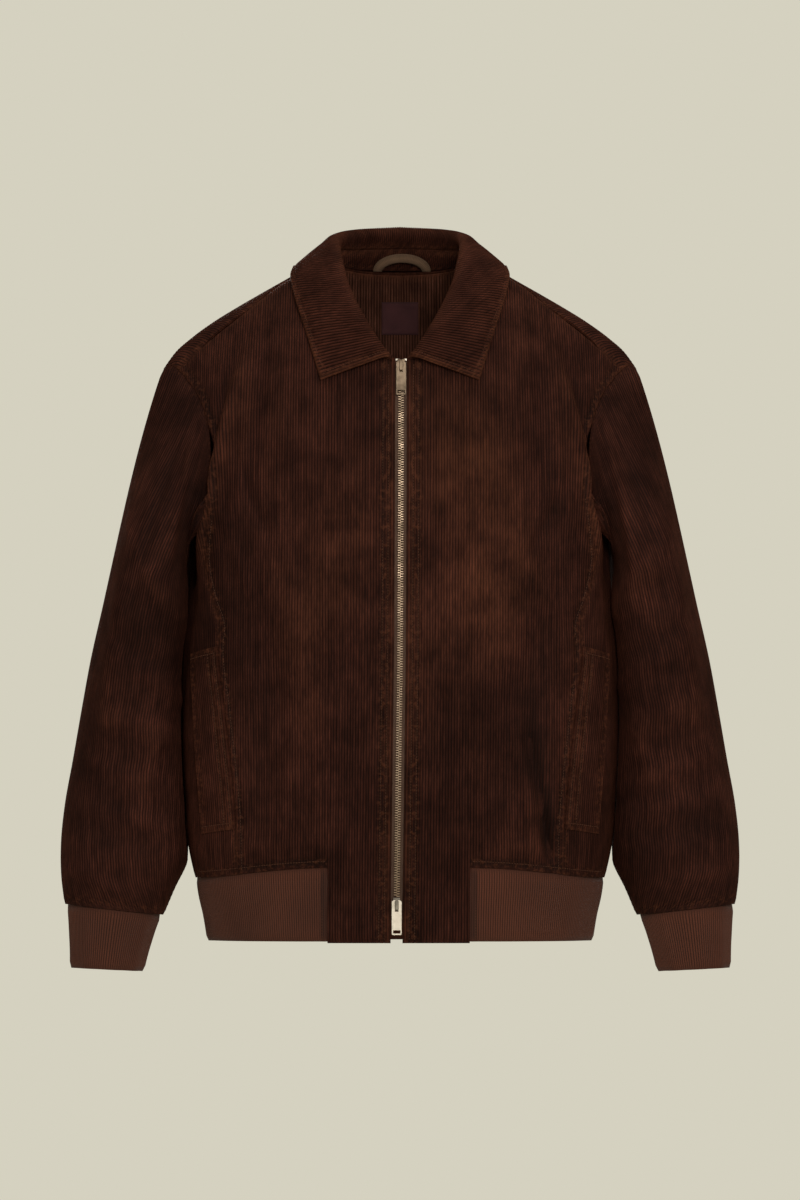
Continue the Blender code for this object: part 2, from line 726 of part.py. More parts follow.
# ---- panels of the body
def front_positions():
    """Pattern positions of a front's points, rows from the tab's end to the top."""
    top_across, top_climb = top_of_front(COLUMNS)
    hole_across, hole_climb = armhole_front()
    rows = []
    for drop in (1.0, 0.5):
        edge, _ = side_edges(0.0)
        across = FRONT_EDGE + LOW_COLUMNS * (edge - FRONT_EDGE)
        hem = hem_height(across)
        rows.append((across, hem + (TAB_END - hem) * drop))
    for share in np.linspace(0, 1, HEM_TO_CHEST + 1):
        edge, _ = side_edges(share)
        across = FRONT_EDGE + LOW_COLUMNS * (edge - FRONT_EDGE)
        hem = hem_height(across)
        rows.append((across, hem + (CHEST_LEVEL - hem) * share))
    for across_edge, climb_edge in zip(hole_across[1:], hole_climb[1:]):
        share = (climb_edge - CHEST_LEVEL) / (hole_climb[-1] - CHEST_LEVEL)
        columns = LOW_COLUMNS + (COLUMNS - LOW_COLUMNS) * share**2
        across = FRONT_EDGE + columns * (across_edge - FRONT_EDGE)
        rows.append((across, CHEST_LEVEL + share * (top_climb - CHEST_LEVEL)))
    return np.array([row[0] for row in rows]), np.array([row[1] for row in rows])


def make_front(name, side):
    """A front: one piece from the shoulder seam to the hem, with a tab that runs down between the ribs."""
    across, climb = front_positions()
    outer, normal = front(side * across, climb), front_normal(side * across, climb)
    used = np.ones((outer.shape[0] - 1, outer.shape[1] - 1), bool)
    used[:2, TAB_COLUMN:] = False
    outer[:, -1] = stand_back(outer[:, -1], outer[:, -2])
    outer[-1, NECK_COLUMN:] = stand_back(outer[-1, NECK_COLUMN:], outer[-2, NECK_COLUMN:])
    normal[2 + HEM_TO_CHEST :, -1] = ARMHOLE_MITRE[side]["front"]
    outer[2, TAB_COLUMN + 1 :, 2] += SEAM_GAP / 2
    outer[:2, TAB_COLUMN] = stand_back(outer[:2, TAB_COLUMN], outer[:2, TAB_COLUMN - 1])
    wall(name, outer, outer - normal * CLOTH, CORDUROY, used)


def side_grid(side):
    """Outer points and normals of a side panel, rows from the hem to the armhole."""
    shares = np.linspace(0, 1, SIDE_CELLS + 1)
    tops = underarm_height(shares)
    rows = []
    for share in np.linspace(0, 1, HEM_TO_CHEST + 1):
        start, end = side_edges(share)
        run = start + (end - start) * shares
        hem = hem_height(run)
        rows.append((run, hem + (tops - hem) * share))
    run = np.array([row[0] for row in rows])
    level = np.array([row[1] for row in rows])
    return front(side * run, level), front_normal(side * run, level)


def make_side(name, side):
    """A side panel: under the arm, from a front to the back."""
    outer, normal = side_grid(side)
    outer[:, 0] = stand_back(outer[:, 0], outer[:, 1])
    outer[:, -1] = stand_back(outer[:, -1], outer[:, -2])
    outer[-1] = stand_back(outer[-1], outer[-2])
    outer[0, :, 2] += SEAM_GAP / 2
    normal[-1] = ARMHOLE_MITRE[side]["side"]
    wall(name, outer, outer - normal * CLOTH, CORDUROY)


def back_columns():
    """Distance across the ridge for each of the back's columns, from the centre to the tip."""
    neck = BACK_NECKLINE[:, 0]
    shoulder = NECK_POINT + shoulder_share() * (SHOULDER_TIP - NECK_POINT)
    return np.concatenate([neck, shoulder]), len(neck)


def back_half(side):
    """Outer points and normals of half the back, rows from the hem over the ridge to the shoulder seam."""
    ridge_across, neck_columns = back_columns()
    shares = ridge_across / SHOULDER_TIP
    top = np.full_like(ridge_across, CHEST_LEVEL + RISE)
    neck_height = column_of(BACK_NECKLINE, 1, ridge_across[:neck_columns])
    top[:neck_columns] = climb_to_height(plain_back, ridge_across[:neck_columns], neck_height)
    rows = []
    for share in np.linspace(0, 1, HEM_TO_CHEST + 1):
        level = BACK_HEM + (CHEST_LEVEL - BACK_HEM) * share
        rows.append((shares * column_of(BACK_PANEL, 1, level), level))
    hole_across, hole_climb = armhole_back()
    for across_edge, climb_edge in zip(hole_across[1:], hole_climb[1:]):
        share = (climb_edge - CHEST_LEVEL) / RISE
        rows.append((shares * across_edge, CHEST_LEVEL + share * (top - CHEST_LEVEL)))
    across = np.array([row[0] for row in rows])
    climb = np.array([np.broadcast_to(row[1], across[0].shape) for row in rows])
    outer, normal = back(side * across, climb), back_normal(side * across, climb)
    over_across, over_climb = strip_positions(shoulder_share())
    over = front(side * over_across[1:], over_climb[1:])
    over_normal = front_normal(side * over_across[1:], over_climb[1:])
    blank = np.repeat(outer[-1:, :neck_columns], STRIP_CELLS, axis=0)
    outer = np.concatenate([outer, np.concatenate([blank, over], axis=1)])
    blank_normal = np.repeat(normal[-1:, :neck_columns], STRIP_CELLS, axis=0)
    normal = np.concatenate([normal, np.concatenate([blank_normal, over_normal], axis=1)])
    return outer, normal, neck_columns


def make_back(name):
    """The back: one piece that reaches over the shoulders to the forward seams."""
    halves = {}
    for side in (1, -1):
        outer, normal, neck_columns = back_half(side)
        normal[HEM_TO_CHEST:, -1] = ARMHOLE_MITRE[side]["back"]
        outer[:, -1] = stand_back(outer[:, -1], outer[:, -2])
        outer[-1, neck_columns:] = stand_back(outer[-1, neck_columns:], outer[-2, neck_columns:])
        outer[0, :, 2] += SEAM_GAP / 2
        halves[side] = (outer, normal)
    outer = np.concatenate([halves[-1][0][:, ::-1], halves[1][0][:, 1:]], axis=1)
    normal = np.concatenate([halves[-1][1][:, ::-1], halves[1][1][:, 1:]], axis=1)
    used = np.ones((outer.shape[0] - 1, outer.shape[1] - 1), bool)
    middle = outer.shape[1] // 2
    used[-STRIP_CELLS:, middle - neck_columns : middle + neck_columns] = False
    wall(name, outer, outer - normal * CLOTH, CORDUROY, used)


# ---- sleeves
def armhole_loop(side):
    """Outer points and body normals of the armhole, from the seam tip down the front and round."""
    front_at = [part[::-1] for part in armhole_front()]
    shares = np.linspace(0, 1, SIDE_CELLS + 1)
    start, end = side_edges(1.0)
    side_at = (start + (end - start) * shares, underarm_height(shares))
    back_at = armhole_back()
    over_across, over_climb = strip_positions(np.array([1.0]))
    strip_at = (over_across[:, 0], over_climb[:, 0])
    parts = (
        (front, front_normal, front_at),
        (front, front_normal, side_at),
        (back, back_normal, back_at),
        (front, front_normal, strip_at),
    )
    points, normals = [], []
    for surface, normal_of, (across, climb) in parts:
        points.append(surface(side * across, climb)[:-1])
        normals.append(normal_of(side * across, climb)[:-1])
    return np.concatenate(points), np.concatenate(normals)


def loop_shares(points, start, bottom):
    """Share of the way from the tip to the underarm for each point: front positive, back negative."""
    ahead = np.roll(points, -1, axis=0)
    run = np.concatenate([[0], np.linalg.norm(ahead - points, axis=1).cumsum()])
    total = run[-1]
    run = run[:-1]
    from_tip = (run - run[start]) % total
    half = (run[bottom] - run[start]) % total
    return np.where(from_tip <= half + 1e-9, from_tip / half, -(total - from_tip) / (total - half))


def sleeve_ring(share, height, side, sections=SLEEVE_SECTIONS):
    """Plain point of a sleeve at a share round from its outer line, front positive."""
    inner, outer, front_depth, back_depth, tilt = (column_of(sections, k, height) for k in range(1, 6))
    turn = share * np.pi
    middle, half = (inner + outer) / 2, (outer - inner) / 2
    depth_middle, depth_half = (back_depth - front_depth) / 2, (back_depth + front_depth) / 2
    flat = 2 / SLEEVE_POWER
    x = middle + half * np.sign(np.cos(turn)) * np.abs(np.cos(turn)) ** flat
    y = depth_middle - depth_half * np.sign(np.sin(turn)) * np.abs(np.sin(turn)) ** flat
    level = height + tilt * (x - middle)
    short = body_reach(y, level) + SLEEVE_CLEARANCE - x
    x = x + 0.5 * (short + np.hypot(short, SLEEVE_BEND))
    return np.stack([side * x, y, level], axis=-1)


def body_reach(depth, height):
    """Distance of the body's side from its middle at a depth and a height."""
    reach = np.where(depth < 0, column_of(BODY_SECTIONS, 2, height), column_of(BODY_SECTIONS, 3, height))
    share = np.clip(np.abs(depth) / reach, 0, 1)
    return column_of(BODY_SECTIONS, 1, height) * (1 - share**RING_POWER) ** (1 / RING_POWER)


def sleeve_shares(side):
    """Shares round the sleeve of the armhole's points."""
    points, _ = armhole_loop(side)
    tip = len(points) - STRIP_CELLS
    bottom = ARMHOLE_FRONT_CELLS + SIDE_CELLS // 2
    hole = loop_shares(points, tip, bottom)
    size = np.interp(np.abs(hole), SLEEVE_SHARE[:, 1], SLEEVE_SHARE[:, 0])
    return np.sign(hole) * size


def sleeve_tangent(share, side):
    """Direction in which the sleeve leaves the armhole."""
    turn = share * np.pi
    x = side * (0.30 + 0.03 * np.cos(turn) ** 2 * (np.abs(share) < 0.5))
    y = -0.38 * np.sin(turn)
    return unit(np.stack([x, y, np.full_like(turn, -0.95)], axis=-1))


def sleeve_grid(side):
    """Outer points of a sleeve, rows from the armhole to the cuff, columns at the armhole's points."""
    points, _ = armhole_loop(side)
    shares = sleeve_shares(side)
    start_height = np.full_like(shares, SLEEVE_START)
    end = sleeve_ring(shares, start_height, side)
    below = sleeve_ring(shares, start_height - STEP, side)
    leave = sleeve_tangent(shares, side)
    arrive = (below - end) / STEP
    span = np.linalg.norm(end - points, axis=1)[:, None]
    f = np.linspace(0, 1, CAP_ROWS + 1)[:, None, None]
    cap = (
        points * (1 + 2 * f) * (1 - f) ** 2
        + leave * span * f * (1 - f) ** 2
        + end * f * f * (3 - 2 * f)
        - arrive * span * f * f * (1 - f)
    )
    heights = np.linspace(SLEEVE_START, SLEEVE_END, TUBE_ROWS + 1)[1:]
    tube = np.array([sleeve_ring(shares, np.full_like(shares, h), side) for h in heights])
    outer = np.concatenate([cap, tube])
    rise = fold_rise(SLEEVE_FOLDS, side, np.broadcast_to(shares, outer.shape[:2]), outer[..., 2], 0.19)
    rise[0] = 0
    return outer + tube_normals(outer, side) * rise[..., None]


def tube_normals(outer, side):
    """Outward normals of a tube whose columns run round from the front."""
    around = np.roll(outer, -1, axis=1) - np.roll(outer, 1, axis=1)
    down = np.gradient(outer, axis=0)
    return unit(np.cross(around, down)) * side


def make_mitres():
    """For each side, the shared directions of the armhole's seam for the panels and the sleeve."""
    result = {}
    for side in (1, -1):
        _, normals = armhole_loop(side)
        mitre = unit(normals + tube_normals(sleeve_grid(side), side)[0])
        lean = np.maximum((mitre * normals).sum(axis=1), 0.6)[:, None]
        mitre = mitre / lean
        first_back = ARMHOLE_FRONT_CELLS + SIDE_CELLS
        closed = np.concatenate([mitre, mitre[:1]])
        result[side] = {
            "front": closed[: ARMHOLE_FRONT_CELLS + 1][::-1],
            "side": closed[ARMHOLE_FRONT_CELLS : first_back + 1],
            "back": closed[first_back:],
            "sleeve": mitre,
        }
    return result


def make_sleeve(name, side):
    """A sleeve: one piece, closed under the arm."""
    outer = sleeve_grid(side)
    normal = tube_normals(outer, side)
    normal[0] = ARMHOLE_MITRE[side]["sleeve"]
    outer[0] = stand_back(outer[0], outer[1])
    wall(name, outer, outer - normal * CLOTH, CORDUROY, wrap=True)


# ---- knit rib
def ribbed_wall(name, ribbed, smooth, count, rows, closed):
    """Wall whose outer side has a ridge every second point, over an inner side with an eighth of them."""
    sparse = 8
    steps = 2 * count
    fine = np.linspace(0, 1, steps + 1)
    coarse = fine[::sparse]
    if closed:
        fine, coarse = fine[:-1], coarse[:-1]
    outer = np.array([ribbed(fine, row) for row in rows])
    inner = np.array([smooth(coarse, row) for row in rows])
    points = np.concatenate([outer.reshape(-1, 3), inner.reshape(-1, 3)])
    n_fine, n_coarse, base = len(fine), len(coarse), outer.shape[0] * len(fine)
    cells = n_fine if closed else n_fine - 1
    coarse_cells = n_coarse if closed else n_coarse - 1
    last = len(rows) - 1
    faces = []
    for r in range(last):
        for c in range(cells):
            d = (c + 1) % n_fine
            faces.append([r * n_fine + c, r * n_fine + d, (r + 1) * n_fine + d, (r + 1) * n_fine + c])
        for c in range(coarse_cells):
            d = (c + 1) % n_coarse
            low, high = base + r * n_coarse, base + (r + 1) * n_coarse
            faces.append([low + c, high + c, high + d, low + d])
    for r in (0, last):
        for c in range(coarse_cells):
            d = (c + 1) % n_coarse
            run = [r * n_fine + (c * sparse + k) % n_fine for k in range(sparse + 1)]
            middle = sparse // 2
            low, high = base + r * n_coarse + c, base + r * n_coarse + d
            faces += [[low, run[k + 1], run[k]] for k in range(middle)]
            faces.append([low, high, run[middle]])
            faces += [[high, run[k + 1], run[k]] for k in range(middle, sparse)]
    if not closed:
        for c_fine, c_coarse in ((0, 0), (n_fine - 1, n_coarse - 1)):
            for r in range(last):
                low, high = base + r * n_coarse + c_coarse, base + (r + 1) * n_coarse + c_coarse
                faces.append([r * n_fine + c_fine, (r + 1) * n_fine + c_fine, high, low])
    new_object(name, points, faces, RIB_KNIT)


def rib_wave(share, count):
    """1 on a ridge and 0 in the groove beside it."""
    return np.round(share * 2 * count) % 2


def make_hem_rib(name):
    """The hem: one band of knit from tab to tab, round the back."""
    length = 2 * (float(half_length(BACK_HEM)) - TAB_WIDTH) - 2 * SEAM_GAP
    count = 4 * round(length / RIB_PITCH / 4)

    def ring(share, row, lift):
        start = TAB_WIDTH + SEAM_GAP
        round_half = 2 * np.minimum(share, 1 - share)
        side = np.where(share < 0.5, 1.0, -1.0)
        hem = hem_height(start + (half_length(BACK_HEM) - start) * round_half) - SEAM_GAP / 2
        level = hem + (HEM_END - hem) * row
        run = start + (half_length(level) - start) * round_half
        point = plain_front(side * run, level)
        return point + surface_normal(plain_front, side * run, level) * lift[:, None]

    def ribbed(share, row):
        return ring(share, row, RIB_HEIGHT * rib_wave(share, count) - RIB_DEPTH)

    def smooth(share, row):
        return ring(share, row, np.full_like(share, -RIB_DEPTH - KNIT))

    ribbed_wall(name, ribbed, smooth, count, (0.0, 1.0), closed=False)


def make_cuff(name, side):
    """A cuff: a tube of knit, narrower at the wrist."""
    _, inner, outer, front_depth, back_depth, _ = CUFF_SECTIONS[0]
    length = np.pi * (outer - inner + front_depth + back_depth) / 2
    count = 4 * round(length / RIB_PITCH / 4)

    def ring(share, row, lift):
        height = np.full_like(share, CUFF_SECTIONS[row, 0])
        point = sleeve_ring(2 * share - 1, height, side, CUFF_SECTIONS)
        middle = (CUFF_SECTIONS[row, 1] + CUFF_SECTIONS[row, 2]) / 2
        depth = (CUFF_SECTIONS[row, 4] - CUFF_SECTIONS[row, 3]) / 2
        out = unit((point - np.array([side * middle, depth, 0])) * np.array([1.0, 1.0, 0.0]))
        return point + out * lift[:, None]

    def ribbed(share, row):
        return ring(share, row, RIB_HEIGHT * rib_wave(share, count))

    def smooth(share, row):
        return ring(share, row, np.full_like(share, -KNIT))

    ribbed_wall(name, ribbed, smooth, count, (0, len(CUFF_SECTIONS) - 1), closed=True)


# ---- collar
def neckline(side):
    """Points of the neckline from the front end to the centre back."""
    across, climb = top_of_front(COLUMNS[: NECK_COLUMN + 1])
    back_across, back_height = BACK_NECKLINE[::-1].T
    back_climb = climb_to_height(plain_back, back_across, back_height)
    return np.concatenate([front(side * across, climb), back(side * back_across, back_climb)])


def collar_half(side):
    """Visible face of half the collar: rows from the neck seam over the roll to the outer edge."""
    mirror = np.array([side, 1.0, 1.0])
    base = neckline(side) * mirror
    run = np.concatenate([[0], np.linalg.norm(np.diff(base, axis=0), axis=1).cumsum()])
    share = run / run[-1]
    roll = np.stack([column_of(COLLAR_ROLL, k, share) for k in (1, 2, 3)], axis=-1)
    edge = collar_edge(share)
    stand, bulge = (column_of(COLLAR_FORM, k, share)[:, None] for k in (1, 2))
    along = unit(np.gradient(roll, axis=0))
    along[-1] = (-1, 0, 0)
    fall = unit(edge - roll)
    out = unit(np.cross(fall, along))
    side_in = unit(np.cross(along, roll - base))
    foot_gap = SEAM_GAP * np.interp(share, (0.0, 0.15), (3.5, 2.0))[:, None]
    foot = base + unit(roll - base) * foot_gap + side_in * (COLLAR_CLOTH + SEAM_GAP * 1.5)
    lower = roll - unit(roll - base) * ROLL_REACH - out * ROLL_RADIUS
    seam = foot + unit(lower - foot) * np.minimum(stand, 0.6 * np.linalg.norm(lower - foot, axis=1)[:, None])
    upper = roll + fall * ROLL_REACH + out * ROLL_RADIUS
    leaf = [
        upper + (edge - upper) * f + out * bulge * 4 * f * (1 - f) for f in (1 / 4, 1 / 2, 3 / 4, 1.0)
    ]
    rows = np.array([foot, seam, (seam + lower) / 2, lower, roll, upper] + leaf)
    return rows * mirror


def collar_edge(share):
    """Outer edge of the leaf: over the front it follows the body, behind the ridge it is given."""
    x, z, lift = (column_of(COLLAR_EDGE, k, COLLAR_EDGE[:, 0]) for k in (1, 2, 3))
    across, climb = place_on_front(x, z)
    front_part = plain_front(across, climb) + surface_normal(plain_front, across, climb) * lift[:, None]
    shares = np.concatenate([COLLAR_EDGE[:, 0], COLLAR_BACK_EDGE[:, 0]])
    points = np.concatenate([front_part, COLLAR_BACK_EDGE[:, 1:]])
    return np.stack([curve(shares, points[:, k], share) for k in range(3)], axis=-1)


def make_collar():
    """The stand round the neck and the fall that turns down over it."""
    left, right = collar_half(-1), collar_half(1)
    visible = np.concatenate([left, right[:, -2::-1]], axis=1)
    along = np.gradient(visible, axis=1)
    down = np.gradient(visible, axis=0)
    normal = unit(np.cross(along, down))
    hidden = visible - normal * COLLAR_CLOTH
    seam = 1
    lift = unit(visible[seam + 1] - visible[seam - 1]) * SEAM_GAP
    lift *= np.interp(np.abs(visible[seam, :, :1]), (0.014, 0.035), (4.5, 1.0))
    stand_visible = np.array([visible[0], visible[seam] - lift])
    stand_hidden = np.array([hidden[0], hidden[seam] - lift])
    middle = visible.shape[1] // 2
    wall("collar_stand", stand_visible, stand_hidden, CORDUROY, middle=middle)
    visible[seam] += lift
    hidden[seam] += lift
    wall("collar_fall", visible[seam:], hidden[seam:], CORDUROY, middle=middle)


# ---- pieces that lie on a panel
def sample(grid, row, column):
    """Point of a grid at fractional rows and columns, between its four neighbours."""
    r = np.clip(row.astype(int), 0, grid.shape[0] - 2)
    c = np.clip(column.astype(int), 0, grid.shape[1] - 2)
    fr, fc = (row - r)[..., None], (column - c)[..., None]
    low = grid[r, c] * (1 - fc) + grid[r, c + 1] * fc
    high = grid[r + 1, c] * (1 - fc) + grid[r + 1, c + 1] * fc
    return low * (1 - fr) + high * fr


def with_grid_lines(start, end):
    """A start, the whole numbers between, and an end."""
    inside = np.arange(np.floor(start) + 1, np.ceil(end))
    return np.concatenate([[start], inside, [end]])


def make_welt(name, side):
    """A pocket's welt: a strip of corduroy that lies on the side panel, next to its front seam."""
    outer, normal = side_grid(side)
    row_span = (CHEST_LEVEL - BACK_HEM) / HEM_TO_CHEST
    low, high = (WELT_END[0] - BACK_HEM) / row_span, (WELT_TOP[0] - BACK_HEM) / row_span
    rows = with_grid_lines(low, high)
    start, end = side_edges(0.35)
    widths = np.array(WELT_WIDTH) / (end - start) * SIDE_CELLS
    share = (rows - low) / (high - low)
    free = widths[0] + (widths[1] - widths[0]) * share
    columns = np.array([np.append(np.arange(0, 2) + (0.08, 0.0), (1 + f) / 2) for f in free])
    columns = np.concatenate([columns, free[:, None]], axis=1)
    slant = np.interp(share, (0, 1), (WELT_END[1] - WELT_END[0], WELT_TOP[1] - WELT_TOP[0])) / row_span
    lines = rows[:, None] + slant[:, None] * (columns / free[:, None])
    face = sample(outer, lines, columns)
    out = unit(sample(normal, lines, columns))
    wall(name, face + out * (LAY_GAP * 2 + WELT), face + out * LAY_GAP * 2, CORDUROY)


def facing_grid():
    """Points of the back just inside its wall, from the middle of the shoulder blades to the neckline."""
    halves = [back_half(side)[:2] for side in (-1, 1)]
    last = len(BACK_NECKLINE)
    first_row, end_row = HEM_TO_CHEST + 3, HEM_TO_CHEST + ARMHOLE_BACK_CELLS + 1
    rows = slice(first_row, end_row)
    outer = np.concatenate([halves[0][0][rows, last::-1], halves[1][0][rows, 1 : last + 1]], axis=1)
    normal = np.concatenate([halves[0][1][rows, last::-1], halves[1][1][rows, 1 : last + 1]], axis=1)
    inside = outer - normal * (CLOTH + LAY_GAP)
    inside[-1] = stand_back(inside[-1], inside[-2], FACING_MARGIN)
    return inside, normal


def make_facing(name):
    """The back neck's facing: corduroy inside the back, under the neck seam."""
    inside, normal = facing_grid()
    wall(name, inside, inside - normal * FACING, CORDUROY)


def make_label(name):
    """A blank woven label on the facing."""
    inside, normal = facing_grid()
    middle = (inside.shape[1] - 1) / 2
    column_x = inside[:, int(middle) + 1, 0]
    heights = inside[:, int(middle), 2]
    row_ends = np.interp(LABEL_HEIGHTS, heights, np.arange(len(heights)))
    rows = with_grid_lines(row_ends[0], row_ends[1])
    reach = LABEL_HALF_WIDTH / np.interp(rows, np.arange(len(column_x)), column_x)
    columns = middle + reach[:, None] * np.array([-1.0, 0.0, 1.0])
    lines = np.repeat(rows[:, None], 3, axis=1)
    face = sample(inside, lines, columns)
    out = unit(sample(normal, lines, columns))
    near = face - out * (FACING + LAY_GAP)
    wall(name, near, near - out * LABEL, LABEL_CLOTH)


def stand_depth(x, z):
    """Depth of the stand's visible face at the back of the neck."""
    foot, _, _, _, roll = collar_half(1)[:5, : -len(BACK_NECKLINE) - 1 : -1]
    foot_y, foot_z, roll_y, roll_z = (
        np.interp(np.abs(x), points[:, 0], points[:, k]) for points in (foot, roll) for k in (1, 2)
    )
    return foot_y + (roll_y - foot_y) * (z - foot_z) / (roll_z - foot_z)


def make_loop(name):
    """The hanger loop: a tape arched across the back of the neck, both ends at the neck seam."""
    turn = np.linspace(np.pi, 0, 15)
    middle, half = sum(LOOP_ENDS) / 2, (LOOP_ENDS[1] - LOOP_ENDS[0]) / 2
    arch = np.sin(turn)
    zero = np.zeros_like(turn)
    x = middle + (half - LOOP_TAPE / 2) * np.cos(turn)
    z = BACK_NECKLINE[0, 1] + LOOP_GAP + LOOP_RISE * arch
    centre = np.stack([x, zero, z], axis=-1)
    along = unit(np.gradient(centre, axis=0))
    across = np.stack([-along[:, 2], zero, along[:, 0]], axis=-1) * LOOP_TAPE / 2
    across[0], across[-1] = (-LOOP_TAPE / 2, 0, 0), (LOOP_TAPE / 2, 0, 0)
    face = np.stack([centre - across, centre + across], axis=1)
    face[..., 1] = stand_depth(face[..., 0], face[..., 2]) - LOOP_GAP - LOOP_FORWARD * arch[:, None]
    wall(name, face, face - np.array([0.0, LOOP_THICK, 0.0]), LOOP_CLOTH)


# ---- zip
def zip_points(top, bottom, sideways, depth):
    """Points along the zip at the fronts' own rows, to the side of its middle and under the cloth's face."""
    _, climb = front_positions()
    rows = climb[:, 0]
    heights = front(np.zeros_like(rows), rows)[:, 2]
    start, end = np.interp((bottom, top), heights, rows)
    between = rows[(rows > start + 0.002) & (rows < end - 0.002)]
    rows = np.concatenate([[start], between, [end]])
    across = np.full_like(rows, sideways)
    return front(across, rows) - front_normal(across, rows) * depth


def zip_strip(name, top, bottom, edges, depths, spec):
    """A flat strip along the zip, between two depths under the cloth's face."""
    near, deep = (
        np.stack([zip_points(top, bottom, x, depth) for x in edges], axis=1) for depth in depths
    )
    wall(name, near, deep, spec)


def plate(name, outline, axis, thickness, spec, start=0.0):
    """Plate of a flat outline that faces along an axis, from a start and as thick as given."""
    points = np.insert(outline, axis, start + thickness / 2, axis=1)
    obj = new_object(name, points, [list(range(len(outline)))], spec)
    shell = obj.modifiers.new("Thickness", "SOLIDIFY")
    shell.thickness = thickness
    shell.offset = 0
    return obj


def shaped_by(target, other, operation):
    """Joins or cuts with another object, which moves with it and stays out of sight."""
    step = target.modifiers.new(operation.title(), "BOOLEAN")
    step.operation = operation
    step.object = other
    other.parent = target
    other.hide_render = True
    other.display_type = "WIRE"
    for collection in other.users_collection:
        collection.objects.unlink(other)
    bpy.data.collections[CUTTERS].objects.link(other)


def rectangle(x0, z0, x1, z1):
    """Corners of a rectangle, anticlockwise."""
    return np.array([(x0, z0), (x1, z0), (x1, z1), (x0, z1)])


def slider_place(height):
    """Middle of the zip's face at a height, and how far the face leans back there."""
    points = zip_points(height + 0.004, height - 0.004, 0.0, 0.0)
    low, high = points[0], points[-1]
    lean = np.arctan2(high[1] - low[1], high[2] - low[2])
    return (low + high) / 2, lean


def axis_of(height):
    """Where a slider's pull turns: under the bridge, at the upper end of its eye."""
    middle, lean = slider_place(height)
    up = BRIDGE_EYE[0] / 2 - AXIS_BELOW_EYE
    forward = SLIDER_PROUD + BRIDGE_EYE[1] / 2
    offset = (0.0, np.sin(lean) * up - np.cos(lean) * forward, np.cos(lean) * up + np.sin(lean) * forward)
    return middle + np.array(offset)


def make_slider(name, height, flip, spec):
    """A slider: a plate over the teeth, wide at one end, with a bridge for its pull."""
    wide, narrow, long = SLIDER_WIDE / 2, SLIDER_NARROW / 2, SLIDER_LONG / 2
    right = np.array([(narrow, -long), (narrow, -0.2 * long), (wide, 0.35 * long), (0.8 * wide, long)])
    outline = np.concatenate([right, right[::-1] * (-1, 1)]) * (1, flip)
    body = plate(name, outline[::flip], 1, SLIDER_PROUD + SLIDER_DEEP, spec, -SLIDER_PROUD)
    eye, bar, face = BRIDGE_EYE[0] / 2, BRIDGE_BAR, -SLIDER_PROUD
    under, over, root = face - BRIDGE_EYE[1], face - BRIDGE_EYE[1] - bar, face + BRIDGE_ROOT
    slope = face - 0.6 * BRIDGE_EYE[1]
    inner = [(root, -eye), (under, -eye), (under, eye), (root, eye)]
    outer = [(root, eye + bar), (slope, eye + bar), (over, eye), (over, -eye), (slope, -eye - bar)]
    bridge = np.array(inner + outer + [(root, -eye - bar)])
    bridge = plate(name + "_bridge", bridge, 0, BRIDGE_WIDTH, spec, -BRIDGE_WIDTH / 2)
    shaped_by(body, bridge, "UNION")
    body.location, lean = slider_place(height)
    body.rotation_euler.x = -lean


def make_pull(name, height, spec):
    """A pull: a flat plate with an eye round the bridge and a slot near its lower end.

    It lies on the cloth where that slopes outwards, and hangs straight down where it doesn't.
    """
    half, corner, top = PULL_WIDTH / 2, PULL_CORNER, PULL_BAR / 2
    right = np.array(
        [
            (half - corner, -PULL_LENGTH),
            (half, -PULL_LENGTH + corner),
            (half, -corner),
            (half - 2 * corner, top),
        ]
    )
    outline = np.concatenate([right, right[::-1] * (-1, 1)])
    body = plate(name, outline, 1, PULL_THICK, spec, -PULL_THICK / 2)
    eye_width, eye_end = PULL_EYE
    slot_width, slot_height, slot_top = PULL_SLOT
    holes = {
        "eye": rectangle(-eye_width / 2, -eye_end, eye_width / 2, -top),
        "slot": rectangle(-slot_width / 2, -slot_top - slot_height, slot_width / 2, -slot_top),
    }
    for label, hole in holes.items():
        cutter = plate(f"{name}_{label}", hole, 1, 4 * PULL_THICK, spec, -2 * PULL_THICK)
        shaped_by(body, cutter, "DIFFERENCE")
    bevel = body.modifiers.new("Bevel", "BEVEL")
    bevel.width = PULL_BEVEL
    bevel.segments = 1
    body.location = axis_of(height)
    _, lean = slider_place(height)
    body.rotation_euler.x = -max(lean, 0.0)


def make_zip():
    """Tapes behind the fronts, the closed teeth as a plain strip, two sliders with pulls, and top stops."""
    neck = FRONT_NECKLINE[0, 1]
    for label, side in SIDES:
        edges = sorted(side * x for x in TAPE_EDGES)
        zip_strip(f"zip_tape_{label}", neck + TAPE_RISE, TAPE_END, edges, TAPE_DEPTHS, TAPE_CLOTH)
        edges = sorted(side * x for x in STOP_EDGES)
        top, bottom = (neck + height for height in STOP_HEIGHTS)
        zip_strip(f"zip_stop_{label}", top, bottom, edges, CHAIN_DEPTHS, NICKEL)
    edges = (-CHAIN_HALF_WIDTH, CHAIN_HALF_WIDTH)
    zip_strip("zip_chain", ZIP_TOP, ZIP_BOTTOM, edges, CHAIN_DEPTHS, BRASS)
    make_slider("top_slider", TOP_SLIDER_AT, 1, BRASS)
    make_slider("bottom_slider", BOTTOM_SLIDER_AT, -1, NICKEL)
    make_pull("top_pull", TOP_SLIDER_AT, BRASS)
    make_pull("bottom_pull", BOTTOM_SLIDER_AT, NICKEL)


